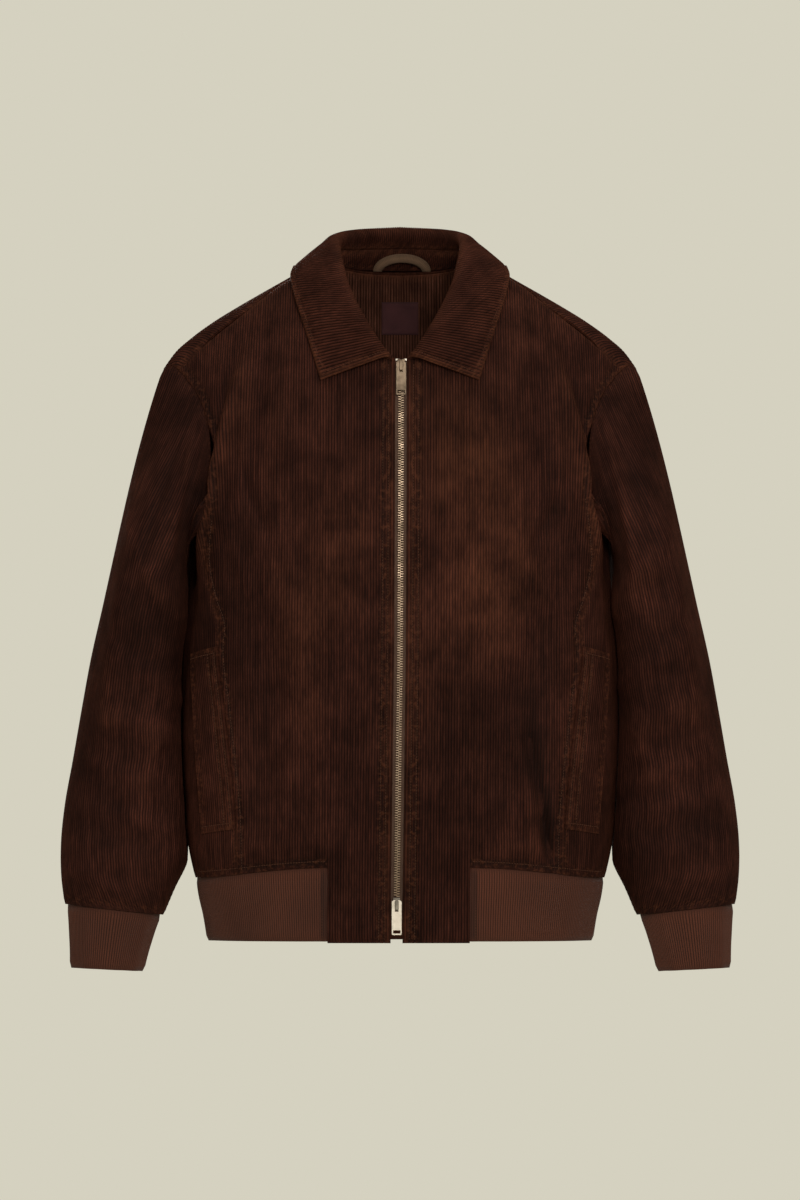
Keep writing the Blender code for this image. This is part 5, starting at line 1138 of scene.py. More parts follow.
def collar_half(side, share):
    """Visible face of half the collar at shares of the neckline: ten lines from seam foot to outer edge."""
    mirror = np.array([side, 1.0, 1.0])
    base = on_line(*neckline(side), share) * mirror
    roll = xyz(*(column_of(COLLAR_ROLL, k, share) for k in (1, 2, 3)))
    edge = collar_edge(share)
    stand, bulge = (column_of(COLLAR_FORM, k, share)[:, None] for k in (1, 2))
    centred = smooth((share - 0.86) / 0.14)[:, None]
    along = unit(unit(np.gradient(roll, axis=0)) * (1 - centred) + np.array((-1.0, 0, 0)) * centred)
    fall = unit(edge - roll)
    out = unit(np.cross(fall, along))
    side_in = unit(np.cross(along, roll - base))
    foot_gap = LAY_GAP * np.interp(share, (0.0, 0.15), (3.5, 2.0))[:, None]
    foot = base + unit(roll - base) * foot_gap + side_in * (COLLAR_CLOTH + LAY_GAP * 1.5)
    lower = roll - unit(roll - base) * ROLL_REACH - out * ROLL_RADIUS
    seam = foot + unit(lower - foot) * np.minimum(stand, 0.6 * np.linalg.norm(lower - foot, axis=1)[:, None])
    upper = roll + fall * ROLL_REACH + out * ROLL_RADIUS
    leaf = [upper + (edge - upper) * f + out * bulge * 4 * f * (1 - f) for f in (1 / 4, 1 / 2, 3 / 4, 1.0)]
    return np.array([foot, seam, (seam + lower) / 2, lower, roll, upper] + leaf) * mirror


def collar_surface(step):
    """Whole collar: the lines of both halves, and how high up the cloth each lies."""
    even = np.linspace(0, 1, 400)
    run = run_along(collar_half(1, even)[7])
    share = np.interp(np.linspace(0, run[-1], 4 * round(run[-1] / step / 4) + 1), run, even)
    lines = np.concatenate([collar_half(-1, share), collar_half(1, share)[:, -2::-1]], axis=1)
    gaps = np.linalg.norm(np.diff(lines, axis=0), axis=-1).mean(axis=1)
    return lines, np.concatenate([[0], gaps.cumsum()])


def lines_at(lines, knots, at):
    """Lines at heights up the cloth: cubics between the given lines, with slopes from their neighbours."""
    slopes = np.gradient(lines, knots, axis=0)
    i = np.clip(np.searchsorted(knots, at, side="right") - 1, 0, len(knots) - 2)
    wide = (knots[i + 1] - knots[i])[:, None, None]
    f = (at - knots[i])[:, None, None] / wide
    low = lines[i] * (1 + 2 * f) * (1 - f) ** 2 + slopes[i] * wide * f * (1 - f) ** 2
    return low + lines[i + 1] * f * f * (3 - 2 * f) - slopes[i + 1] * wide * f * f * (1 - f)


def collar_part(name, low, high, sizes, finish):
    """Part of the collar between two heights up its cloth, as a shell with wales across its length."""
    lines, knots = collar_surface(sizes.wale_pitch * COLLAR_WIDER / 4)
    at = np.linspace(low, high, max(3, round((high - low) / 0.0032) + 1))
    face = lines_at(lines, knots, at)
    normal = unit(np.cross(np.gradient(face, axis=1), np.gradient(face, axis=0)))
    along = run_along(face, 1)
    up = at[:, None] + 0 * along
    to_seam = np.abs(up - knots[1])
    edge = least(along, along[:, -1:] - along, knots[-1] - up)
    nearest = least(edge, to_seam, up - low)
    wave = wales_over(nearest)
    on_leaf = (at > knots[4])[:, None]
    row = np.where(on_leaf, edge - COLLAR_STITCH, 1.0)
    puff = 0.0005 * bump((edge - 0.003) / 0.0022) * on_leaf
    lift = sizes.wale_height * 2.1 * wave * (1 - 0.4 * bump(row / 0.0016)) + stitch_press(row) + puff
    lift += fold_roll(edge) + 0.8 * seam_dip(to_seam)
    # lighter nap along the leaf's edge and the roll; painted light beside the stand's seam and over the whole
    # collar (+0.14)
    rub_and_painted_light = 0.9 * bump(edge / 0.0035) * on_leaf + 0.35 * bump((up - knots[4]) / 0.006)
    rub_and_painted_light = rub_and_painted_light + 0.45 * bump((to_seam - 0.002) / 0.003) + 0.14
    sewn = sewn_near(row, edge - PUCKER, to_seam - 0.0025, up - low - PUCKER)
    fields = fields_of(along, up, wave, nearest, rub_and_painted_light, sewn)
    return cloth(name, face, normal, lift, COLLAR_CLOTH, fields, finish)


# ---- pieces on a panel
def make_welt(name, side, sizes, finish):
    """Pocket welt: strip beside the front's seam, its long sides along the wales, its ends slanting."""
    u, v = np.meshgrid(np.arange(0.0006, 0.052, sizes.wale_pitch / 4), np.linspace(0, 1, 34))
    seam_climb = WELT_END[0] + (WELT_TOP[0] - WELT_END[0]) * v
    width = lambda climb: panel_end(climb) - panel_start(climb)
    scale = width(seam_climb) / width(-0.485)
    free = (WELT_WIDTH[0] + (WELT_WIDTH[1] - WELT_WIDTH[0]) * v) * scale
    u = np.minimum(u, free)
    slant = WELT_END[1] - WELT_END[0] + (WELT_TOP[1] - WELT_TOP[0] - WELT_END[1] + WELT_END[0]) * v
    c = seam_climb + slant * u / free
    a = panel_start(c) + u
    long = WELT_TOP[0] - WELT_END[0]
    to_top, to_low, to_free = (1 - v) * long, v * long, free - u
    edge = least(to_top, to_low, to_free)
    nearest = np.minimum(edge, u + 0.0004)
    wave = wales_over(nearest)
    rows = [u - x for x in WELT_STITCH] + [to_top - WELT_END_STITCH, to_low - WELT_END_STITCH]
    flat = 1 - 0.4 * sum(bump(d / 0.0016) for d in rows)
    fold = -0.0009 * bump((to_top - 0.0062) / 0.0009) + 0.0006 * bump((to_top - 0.0040) / 0.0018)
    lift = LAY_GAP * 2 + WELT + sizes.wale_height * (wave * flat - 0.5) + stitch_press(*rows) + fold
    lift += fold_roll(edge)
    rub_and_painted_light = 0.5 * bump(to_free / 0.003) + 0.4 * bump(to_top / 0.003) + 0.35 * bump(to_low / 0.003)
    rub_and_painted_light = rub_and_painted_light + 0.18 * bump((u - 0.008) / 0.008)
    fields = fields_of(a, c, wave, nearest, rub_and_painted_light, sewn_near(*rows, edge - PUCKER, to_free - 0.007))
    return cloth(name, front(side * a, c), front_normal(side * a, c), lift, -LAY_GAP * 2, fields, finish)


def back_lining(a, c, depth):
    """Point behind the back's cloth face at a depth, and the direction from it toward the wearer."""
    normal = back_normal(a, c)
    return back(a, c) - normal * depth, -normal


def make_facing(name, sizes, finish):
    """Back neck facing: the back's own surface, a cloth and a gap inside it, from the shoulder blades up."""
    step = sizes.wale_pitch / 4
    count = int(np.ceil(NECK_POINT / step / 4)) * 4
    a, v = np.meshgrid(np.arange(-count, count + 1) * step, np.linspace(0, 1, 26))
    half = np.interp(v, (0, 1), (FACING_FOOT_WIDTH, NECK_POINT))
    a = np.clip(a, -half, half)
    top = climb_at(BACK_TOP_LINE, np.abs(a) / half * NECK_POINT)
    c = CHEST_LEVEL + (FACING_FOOT + (1 - FACING_FOOT) * v) * (top - CHEST_LEVEL) - 0.0015 * v
    face, normal = back_lining(a, c, CLOTH + LAY_GAP + FACING)
    to_top = (1 - v) * FACING_HEIGHT
    nearest = np.minimum(half - np.abs(a), np.minimum(v, 1 - v) * FACING_HEIGHT)
    wave = wales_over(nearest)
    # lighter along the facing's top: painted light against the shade at the neck seam
    fields = fields_of(a, c, wave, nearest, 0.9 * bump(to_top / 0.006), sewn_near(to_top - 0.003))
    return cloth(name, face, normal, sizes.wale_height * (wave - 1.0), FACING, fields, finish)


def make_label(name, finish):
    """Blank woven label on the facing, with folded ends and a stitched border."""
    across = np.linspace(-1, 1, 61) * LABEL_HALF_WIDTH
    low, high = (climb_to_height(plain_back, np.abs(across), np.full_like(across, h)) for h in LABEL_HEIGHTS)
    c = low + (high - low) * np.linspace(0, 1, 41)[:, None]
    a = np.broadcast_to(across, c.shape)
    face, normal = back_lining(a, c, CLOTH + LAY_GAP * 2 + FACING + LABEL)
    edge = least(LABEL_HALF_WIDTH - np.abs(a), c - low, high - c)
    lift = 0.0002 * fade(edge, 0.0028, 0.0006) - 0.0003 * fade(edge, 0, 0.0008)
    lift = lift + 0.00012 * np.sin(a * 260) * np.sin(c * 190)
    fields = plain_fields(a, c, smooth(edge / 0.0014), smooth((edge - 0.0026) / 0.0006))
    return cloth(name, face, normal, lift, LABEL, fields, finish, every=6)


def stand_depth(x, z):
    """Depth of the stand's visible face at the back of the neck, on the line from its foot to the roll."""
    share = np.linspace(0.55, 1, 80)
    foot, _, _, _, roll = collar_half(1, share)[:5, ::-1]
    foot_y, foot_z, roll_y, roll_z = (
        np.interp(np.abs(x), points[:, 0], points[:, k]) for points in (foot, roll) for k in (1, 2)
    )
    return foot_y + (roll_y - foot_y) * (z - foot_z) / (roll_z - foot_z)


def make_loop(name, finish):
    """Hanger loop: a tape along a half ellipse across the neck, upright at its ends."""
    turn = np.linspace(np.pi, 0, 61)
    middle, half = sum(LOOP_ENDS) / 2, (LOOP_ENDS[1] - LOOP_ENDS[0]) / 2
    arch, zero = np.sin(turn), np.zeros_like(turn)
    x = middle + (half - LOOP_TAPE / 2) * np.cos(turn)
    centre = xyz(x, zero, BACK_NECKLINE[0, 1] + LOOP_GAP + LOOP_RISE * arch)
    along = unit(np.gradient(centre, axis=0))
    over = xyz(-along[:, 2], zero, along[:, 0]) * LOOP_TAPE / 2
    over[0], over[-1] = (-LOOP_TAPE / 2, 0, 0), (LOOP_TAPE / 2, 0, 0)
    part = np.linspace(-1, 1, 13)[None, :] + 0 * turn[:, None]
    face = centre[:, None] + over[:, None] * part[..., None]
    face[..., 1] = stand_depth(face[..., 0], face[..., 2]) - LOOP_GAP - LOOP_FORWARD * arch[:, None]
    face[..., 1] -= LOOP_THICK
    normal = np.zeros_like(face) + np.array([0.0, -1.0, 0.0])
    edge = 1 - np.abs(part)
    lift = 0.0002 * smooth(edge / 0.25) - 0.0003 * fade(edge, 0, 0.1)
    fields = plain_fields(part * LOOP_TAPE / 2, run_along(centre)[:, None], edge)
    return cloth(name, face, normal, lift, LOOP_THICK, fields, finish, every=4)


# ---- zip and stitches
def zip_climb(height):
    """Climb at which the middle of the front reaches a height."""
    climbs = np.linspace(-0.70, -0.02, 600)
    return np.interp(height, front(np.zeros_like(climbs), climbs)[:, 2], climbs)


def make_tape(name, side, finish):
    """Zip tape: a strip beside the teeth, a little behind the front's folded edge."""
    heights = np.linspace(TAPE_END, FRONT_NECKLINE[0, 1] + 0.0008, 91)
    u, c = np.meshgrid(np.linspace(*TAPE_EDGES, 19), zip_climb(heights))
    edge = np.minimum(u - TAPE_EDGES[0], TAPE_EDGES[1] - u)
    lift = -TAPE_DEPTH + 0.0003 * bump((u - 0.0020) / 0.0005) - 0.0003 * fade(edge, 0, 0.0007)
    fields = plain_fields(u, c, smooth(edge / 0.001))
    face, normal = front(side * u, c), front_normal(side * u, c)
    return cloth(name, face, normal, lift, TAPE_DEPTH + TAPE_WALL, fields, finish, every=6)


def repeated(name, shape, triangles, centre, axes, finish):
    """One mesh of a small shape set at many places, each with its own three directions."""
    points = centre[:, None, :] + np.einsum("vk,nkd->nvd", shape, np.stack(axes, axis=1))
    count, size = len(centre), len(shape)
    faces = (triangles[None] + (np.arange(count) * size)[:, None, None]).reshape(-1, 3)
    place = np.repeat(np.arange(count), size)[:, None] * np.array([[0.37, 0.11, 0.0]])
    place[:, 2] = np.tile(shape[:, 2], count)
    mesh = bpy.data.meshes.new(name)
    mesh.from_pydata(points.reshape(-1, 3).tolist(), [], faces.tolist())
    return finished(mesh, {"weave": place}, 40, finish)


def prism(rings, order=(0, 1, 2)):
    """Closed small shape: rings of points joined by bands, with fans at both ends.

    The order of the corners turns the triangles' faces outward.
    """
    count, ends = len(rings[0]), len(rings) - 1
    k = np.arange(count)
    nxt = (k + 1) % count
    parts = []
    for low in np.arange(ends) * count:
        a, b, c, d = low + k, low + nxt, low + count + nxt, low + count + k
        parts += [xyz(a, b, c), xyz(a, c, d)]
    fan = np.arange(1, count - 1)
    parts.append(xyz(0 * fan, fan + 1, fan))
    parts.append(xyz(0 * fan, fan, fan + 1) + ends * count)
    return np.concatenate(rings), np.concatenate(parts)[:, order]


def make_teeth(name, sizes, finish):
    """Closed teeth: two columns of small rounded blocks, the second half a pitch above the first."""
    half = np.array(((-0.0007, -0.00038), (0.0002, -0.00056), (0.0014, -0.00056), (0.0028, -0.00045)))
    outline = np.concatenate([half, half[::-1] * (1, -1)])
    middle = outline.mean(axis=0)
    layers = ((-0.0019, 0.9), (-0.0006, 1.0), (-0.0002, 0.80))  # depth, scale
    rings = [np.insert((outline - middle) * scale + middle, 2, depth, axis=1) for depth, scale in layers]
    shape, faces = prism(rings)
    levels = np.linspace(zip_climb(ZIP_BOTTOM + 0.001), zip_climb(ZIP_TOP - 0.001), 600)
    run = run_along(front(0 * levels, levels))
    count = int(run[-1] / sizes.tooth_pitch)
    centres, axes = [], []
    for side in (1, -1):
        at = (np.arange(count) + (0.5 if side < 0 else 0.0)) * sizes.tooth_pitch
        climb = np.interp(at, run, levels)
        across = np.full_like(climb, side * 0.0002)
        point, out = front(across, climb), front_normal(across, climb)
        up = unit(front(across, climb + STEP) - point)
        centres.append(point)
        axes.append(np.stack([unit(np.cross(up, out)) * side, up * side, out]))
    return repeated(name, shape, faces, np.concatenate(centres), list(np.concatenate(axes, axis=1)), finish)


def stitch_row(points, normals, sizes):
    """Middles and directions of stitches at an even pitch along a line."""
    run = run_along(points)
    count = max(2, int(run[-1] / sizes.stitch_pitch))
    at = (np.arange(count) + 0.5) * run[-1] / count
    start, end = (on_line(points, run, at + part * sizes.stitch_pitch / 2) for part in (-1, 1))
    out = unit(on_line(normals, run, at))
    along = unit(end - start)
    return (start + end) / 2, unit(np.cross(out, along)), along, out


def make_stitches(name, rows, sizes, finish):
    """All topstitching: each stitch a short thread, thick in its middle and sunk at both ends."""
    around = np.array([(1.0, 0.0), (0.0, 1.0), (-1.0, 0.0), (0.0, -1.0)]) * sizes.thread_radius
    # place along the stitch, width and depth of each ring
    form = ((-1.0, 0.5, -0.0004), (-0.55, 1.0, 0.0), (0.55, 1.0, 0.0), (1.0, 0.5, -0.0004))
    half = np.full(4, sizes.stitch_length / 2)
    rings = [xyz(around[:, 0] * wide, half * at, around[:, 1] * wide + deep) for at, wide, deep in form]
    shape, faces = prism(rings, (0, 2, 1))
    found = [stitch_row(points, normals, sizes) for points, normals in rows]
    centre, *axes = (np.concatenate(part) for part in zip(*found))
    return repeated(name, shape, faces, centre, axes, finish)


def on_front(side, across, climb, lift):
    """A line on the front or a side panel, lifted off it."""
    across, climb = np.broadcast_arrays(across, climb)
    normal = front_normal(side * across, climb)
    return front(side * across, climb) + normal * lift, normal


def topstitch_rows(sizes):
    """Every row of topstitching as points and normals: fronts, hem, side seams, welts and collar."""
    rows = []
    across = np.linspace(-0.204, 0.204, 240)
    c = np.full_like(across, BACK_HEM + HEM_STITCH)
    normal = back_normal(across, c)
    hem_behind = (back(across, c) + normal * 0.0004, normal)
    for side in (1, -1):
        for across in FRONT_STITCH:
            top = float(climb_at(FRONT_TOP_LINE, across)) - 0.004
            rows.append(on_front(side, across, np.linspace(TAB_END + 0.003, top, 300), 0.0002))
        run = np.linspace(TAB_WIDTH + 0.002, 0.232, 120)
        rows.append(on_front(side, run, hem_height(run) + HEM_STITCH, 0.0004))
        climb = np.linspace(-0.612, -0.240, 160)
        rows.append(on_front(side, panel_start(climb) - SIDE_STITCH, climb, 0.0005))
        climb = np.linspace(FRONT_HEM - 0.002, HEM_END + 0.001, 30)
        rows.append(on_front(side, TAB_WIDTH + TAB_STITCH, climb, -0.0006))
        if side > 0:
            rows.append(hem_behind)
        lift = LAY_GAP * 2 + WELT + 0.0001
        climb = np.linspace(WELT_END[0] + 0.006, WELT_TOP[0] - 0.008, 80)
        for u in WELT_STITCH:
            rows.append(on_front(side, panel_start(climb) + u, climb, lift))
        for ends, shift, far in ((WELT_TOP, -WELT_END_STITCH, 0.0425), (WELT_END, WELT_END_STITCH, 0.0440)):
            u = np.linspace(0.003, far, 30)
            climb = ends[0] + shift + (ends[1] - ends[0]) * u / 0.047
            rows.append(on_front(side, panel_start(climb) + u, climb, lift))
    return rows + collar_rows(sizes)


def collar_rows(sizes):
    """Rows round the collar's leaf, a little inside its edge."""
    lines, knots = collar_surface(sizes.wale_pitch)
    at = knots[-1] - COLLAR_STITCH
    ahead, line = lines_at(lines, knots, np.array([at - 0.003, at]))
    normal = unit(np.cross(np.gradient(line, axis=0), line - ahead))
    run = run_along(line)
    between = (run > COLLAR_STITCH) & (run < run[-1] - COLLAR_STITCH)
    rows = [(line[between] + normal[between] * 0.0002, normal[between])]
    edge = lines_at(lines, knots, np.linspace(knots[5], at, 40))
    for part, end in ((edge, 0), (edge[:, ::-1], -1)):
        part = part[:, :12]
        place = np.array([on_line(p, g, COLLAR_STITCH) for p, g in zip(part, run_along(part, 1))])
        turn = unit(np.cross(np.gradient(place, axis=0), part[:, 4] - part[:, 0]))
        turn *= -1 if (turn * normal[end]).sum() < 0 else 1
        rows.append((place + turn * 0.0002, turn))
    return rows


# ---- materials
def shade(colour, factor):
    """A colour times a factor."""
    return (colour[0] * factor, colour[1] * factor, colour[2] * factor, 1.0)


def node(tree, kind, **inputs):
    """A node with its inputs set: a name with underscores, or i and a number, to a value or a socket."""
    made = tree.nodes.new(kind)
    for label, value in inputs.items():
        join(tree, value, made.inputs[int(label[1:]) if label[1:].isdigit() else label.replace("_", " ")])
    return made


def join(tree, value, spot):
    """Links a socket to an input, or sets the input to a value."""
    if isinstance(value, bpy.types.NodeSocket):
        tree.links.new(value, spot)
    else:
        spot.default_value = value


class Finish:
    """A material in the making: every call adds a node and gives back its result."""

    def __init__(self, name):
        self.made = bpy.data.materials.new(name)
        self.made.use_nodes = True
        self.tree = self.made.node_tree
        self.spot = self.node("ShaderNodeTexCoord").outputs["Object"]

    def node(self, kind, **inputs):
        """A node of this material."""
        return node(self.tree, kind, **inputs)

    def math(self, operation, *values):
        """Values joined two by two by one operation."""
        result = values[0]
        for value in values[1:] or (0.0,):
            made = self.node("ShaderNodeMath", i0=result, i1=value)
            made.operation = operation
            result = made.outputs[0]
        return result

    def times(self, *values):
        """Product of the values."""
        return self.math("MULTIPLY", *values)

    def plus(self, *values):
        """Sum of the values."""
        return self.math("ADD", *values)

    def noise(self, scale, detail, roughness=0.5, place=None):
        """Noise of a scale on the piece, or on the place given."""
        place = place or self.spot
        kind = "ShaderNodeTexNoise"
        return self.node(kind, Vector=place, Scale=scale, Detail=detail, Roughness=roughness).outputs[0]

    def stretched(self, place, over, up, detail):
        """Noise on the cloth with a grain: so many features a metre over it and up it."""
        grain = self.node("ShaderNodeVectorMath", i0=place, i1=(over, up, 0.0))
        grain.operation = "MULTIPLY"
        return self.noise(1.0, detail, 0.6, grain.outputs[0])

    def mix(self, factor, a, b, blend="MIX"):
        """A colour mixed from two."""
        made = self.node("ShaderNodeMix")
        made.data_type, made.blend_type = "RGBA", blend
        for spot, value in zip((0, 6, 7), (factor, a, b)):
            join(self.tree, value, made.inputs[spot])
        return made.outputs[2]

    def ramp(self, value, low, high):
        """The value spread from 0 at low to 1 at high, and held outside."""
        return self.node("ShaderNodeMapRange", Value=value, From_Min=low, From_Max=high).outputs[0]

    def tinted(self, colour, value, low, high, dark, light):
        """A colour made darker where the value is low and lighter where it is high."""
        factor = self.mix(self.ramp(value, low, high), shade((1, 1, 1), dark), shade((1, 1, 1), light))
        return self.mix(1.0, colour, factor, "MULTIPLY")

    def field(self, name):
        """A field of the mesh: a place for the weave, one number for the others."""
        made = self.node("ShaderNodeAttribute")
        made.attribute_name = name
        return made.outputs["Vector" if name == "weave" else "Fac"]

    def woven(self):
        """Place on the cloth in two directions, and height of the wale."""
        return self.node("ShaderNodeSeparateXYZ", Vector=self.field("weave")).outputs

    def end(self, colour, roughness, relief=None, strength=0.0, distance=0.0, **levels):
        """The finished material: colour, roughness, relief as a bump, and levels by their names."""
        levels |= {"Base Color": colour, "Roughness": roughness}
        if relief:
            bump_made = self.node("ShaderNodeBump", Height=relief, Strength=strength, Distance=distance)
            levels["Normal"] = bump_made.outputs[0]
        for label, value in levels.items():
            join(self.tree, value, self.tree.nodes["Principled BSDF"].inputs[label.replace("_", " ")])
        return self.made


def corduroy(name, crest, groove, rubbed_nap):
    """Cut-pile cotton: dark between the wales, streaky nap on them; lighter with wear and painted highlights,
    darker with painted shade.
    """
    f = Finish(name)
    place, rubbed, sewn = f.field("weave"), f.field("rubbed"), f.field("sewn")
    _, along, wale = f.woven()
    nap = f.stretched(place, 500.0, 70.0, 4.0)
    streak = f.stretched(place, 300.0, 14.0, 2.0)
    dents = f.stretched(place, 210.0, 210.0, 2.0)
    cloud, patch, pile = f.noise(6.0, 4.0, 0.6), f.noise(38.0, 3.0), f.noise(2400.0, 2.0)
    tufts = f.math("SINE", f.times(along, 2 * np.pi / 0.0013))
    # wales lighter than the cloth between them: partly its own colour, partly painted shade in the grooves
    # and painted sheen on the crests
    colour = f.mix(f.ramp(wale, 0.25, 1.0), groove, f.tinted(crest, nap, 0.3, 0.7, 0.62, 1.48))
    colour = f.tinted(colour, streak, 0.32, 0.68, 0.72, 1.32)
    colour = f.tinted(colour, cloud, 0.36, 0.64, 0.70, 1.30)
    colour = f.tinted(colour, patch, 0.32, 0.68, 0.74, 1.28)
    colour = f.tinted(colour, pile, 0.3, 0.7, 0.75, 1.2)
    # painted shade in the dents of stitch puckers, and painted highlights between them
    colour = f.mix(f.times(sewn, f.ramp(dents, 0.48, 0.66), 0.26), colour, groove)
    lighter = f.times(sewn, 0.30, f.ramp(dents, 0.50, 0.34))
    # painted shade: darker toward the groove colour where the field of wear and painted light is below 0
    colour = f.mix(f.times(f.ramp(rubbed, 0.0, -1.0), 0.85), colour, shade(groove, 0.9))
    # lighter toward the worn nap colour where that field is above 0: wear, and painted highlights on fold
    # ridges
    worn_and_painted_light = f.times(rubbed, f.ramp(wale, -0.4, 1.0), f.ramp(nap, 0.1, 0.75))
    worn_and_painted_light = f.times(f.math("MAXIMUM", worn_and_painted_light, 0.0), f.ramp(patch, 0.15, 0.65))
    colour = f.mix(f.plus(worn_and_painted_light, lighter), colour, rubbed_nap)
    relief = f.plus(f.times(pile, 0.5), f.times(tufts, 0.12), f.times(nap, 0.8), f.times(sewn, dents, -9.0))
    return f.end(
        colour, f.ramp(nap, -2.0, 1.3), relief, 0.7, 0.0003, Specular_IOR_Level=0.04,
        Sheen_Weight=0.12, Sheen_Roughness=0.40, Sheen_Tint=shade(rubbed_nap, 3.0),
    )


def rib_knit(name, knit):
    """Ribbed knit: rows of slanting stitches on each rib, soft and a little fuzzy."""
    f = Finish(name)
    _, along, rib = f.woven()
    loops = f.math("SINE", f.plus(f.times(along, 2 * np.pi / 0.0019), f.times(rib, 2.2)))
    fuzz = f.noise(1800.0, 3.0)
    # ribs lighter than the grooves between them: painted shade in the grooves
    colour = f.mix(f.ramp(rib, 0.1, 0.9), shade(knit, 0.16), shade(knit, 1.06))
    colour = f.mix(f.ramp(loops, -5.0, 1.0), shade(knit, 0.55), colour)
    colour = f.tinted(colour, f.noise(14.0, 3.0), 0.3, 0.7, 0.85, 1.15)
    colour = f.tinted(colour, fuzz, 0.3, 0.7, 0.80, 1.2)
    relief = f.plus(f.times(loops, 0.12), f.times(fuzz, 0.6))
    rough = f.ramp(fuzz, -3.0, 1.2)
    return f.end(
        colour, rough, relief, 0.6, 0.0003, Specular_IOR_Level=0.2, Sheen_Weight=0.10, Sheen_Roughness=0.5
    )


def flat_weave(name, colour, over_pitch, up_pitch, slant, gloss):
    """Narrow woven cloth: threads at two pitches that cross, set off by a slant for twill."""
    f = Finish(name)
    across, along, edge = f.woven()
    over, up = f.times(across, 2 * np.pi / over_pitch), f.times(along, 2 * np.pi / up_pitch)
    cross = f.times(f.math("SINE", f.plus(up, f.times(over, slant))), f.math("COSINE", over))
    fuzz = f.noise(3000.0, 2.0)
    shown = f.mix(f.ramp(cross, -1.0, 0.8), shade(colour, 0.55), shade(colour, 1.15))
    shown = f.tinted(shown, f.noise(60.0, 3.0), 0.3, 0.7, 0.82, 1.15)
    # painted shade toward the edges, where the tape or label rounds and turns down
    shown = f.mix(f.ramp(edge, 0.0, 1.0), shade(colour, 0.5), shown)
    relief = f.plus(cross, f.times(fuzz, 0.5))
    return f.end(shown, f.ramp(fuzz, -gloss, 1.3), relief, 0.6, 0.0002, Specular_IOR_Level=0.25)


def metal(name, colour, bright, dark, rough):
    """Plated zinc: tarnish in soft clouds, fine scratches, rubbed brighter in patches."""
    f = Finish(name)
    colour, dark = shade(colour, bright), shade(colour, dark)
    cloud, grain = f.noise(90.0, 3.0), f.noise(4200.0, 2.0)
    scratch = f.node("ShaderNodeMapping", Vector=f.spot, Scale=(5200.0, 5200.0, 420.0)).outputs[0]
    lines = f.noise(1.0, 3.0, place=scratch)
    shown = f.mix(f.ramp(cloud, 0.25, 0.60), dark, colour)
    shown = f.mix(f.times(f.ramp(lines, 0.55, 0.8), 0.5), shown, shade(colour, 1.25))
    relief = f.plus(f.times(lines, 0.5), grain)
    return f.end(shown, f.ramp(cloud, 1.1 + rough, -0.1), relief, 0.15, 0.00003, Metallic=1.0)


def thread(name, colour):
    """Twisted sewing thread: slanting plies along each stitch."""
    f = Finish(name)
    plies = f.node("ShaderNodeTexWave", Vector=f.spot, Scale=900.0, Distortion=1.0).outputs["Fac"]
    shown = f.mix(plies, shade(colour, 0.6), shade(colour, 1.2))
    return f.end(shown, 0.7, plies, 0.4, 0.0001, Specular_IOR_Level=0.15)


def paper(name, colour):
    """Matt pale floor with a faint grain."""
    f = Finish(name)
    return f.end(f.mix(f.noise(3.0, 4.0), shade(colour, 0.98), shade(colour, 1.02)), 0.95)


# ---- sizes and colours of the add-on
def length(label, text, value):
    """A length that the user may change."""
    return bpy.props.FloatProperty(
        name=label, description=text, default=value, min=1e-5, unit="LENGTH", precision=5
    )


def tint(label, text, value):
    """A colour that the user may change."""
    return bpy.props.FloatVectorProperty(
        name=label, description=text, default=(*value, 1.0), size=4, min=0.0, max=1.0, subtype="COLOR"
    )


class JacketSizes(bpy.types.PropertyGroup):
    """Sizes of the cloth's detail."""

    wale_pitch: length("Wale pitch", "From one wale of the corduroy to the next", 0.0028)
    wale_height: length("Wale height", "Height of a wale over its groove", 0.00045)
    rib_pitch: length("Rib pitch", "From one rib of the knit to the next", 0.0025)
    rib_height: length("Rib height", "Height of a rib over its groove", 0.0008)
    tooth_pitch: length("Tooth pitch", "From one tooth of the zip to the next on the same tape", 0.0025)
    stitch_pitch: length("Stitch pitch", "From one topstitch to the next", 0.0028)
    stitch_length: length("Stitch length", "Length of thread that shows in a topstitch", 0.0023)
    thread_radius: length("Thread radius", "Half the thickness of the topstitching thread", 0.00026)


class JacketColours(bpy.types.PropertyGroup):
    """Colours of the cloth, the knit, the trims and the metal."""

    crest: tint("Wale", "Nap on the wales", (0.0395, 0.0113, 0.0068))
    groove: tint("Groove", "Cloth between the wales", (0.0098, 0.0045, 0.0035))
    # a lighter copy of the corduroy's colour for the neck facing: painted light, standing in for light that
    # the shade inside the neck keeps from it
    inside: tint("Inside", "Wales of the neck facing, which is hardly worn", (0.0940, 0.0350, 0.0210))
    # colour of lighter nap: worn nap, and painted highlights on the ridges of folds and puckers
    rubbed: tint("Rubbed nap", "Nap where it is worn", (0.1200, 0.0400, 0.0190))
    knit: tint("Knit", "Ribs of the hem and the cuffs", (0.0850, 0.0250, 0.0124))
    tape: tint("Zip tape", "Woven tape beside the teeth", (0.1100, 0.0620, 0.0420))
    loop: tint("Hanger loop", "Twill tape of the hanger loop", (0.1950, 0.1150, 0.0670))
    label: tint("Label", "Blank woven label", (0.0740, 0.0240, 0.0250))
    brass: tint("Brass", "Teeth, top slider and pull", (0.4800, 0.3500, 0.2400))
    nickel: tint("Nickel", "Bottom slider and pull, top stops", (0.8200, 0.7400, 0.6200))
    thread: tint("Thread", "Topstitching", (0.0950, 0.0380, 0.0200))
    floor: tint("Floor", "Floor and surroundings", (0.6650, 0.6380, 0.5270))


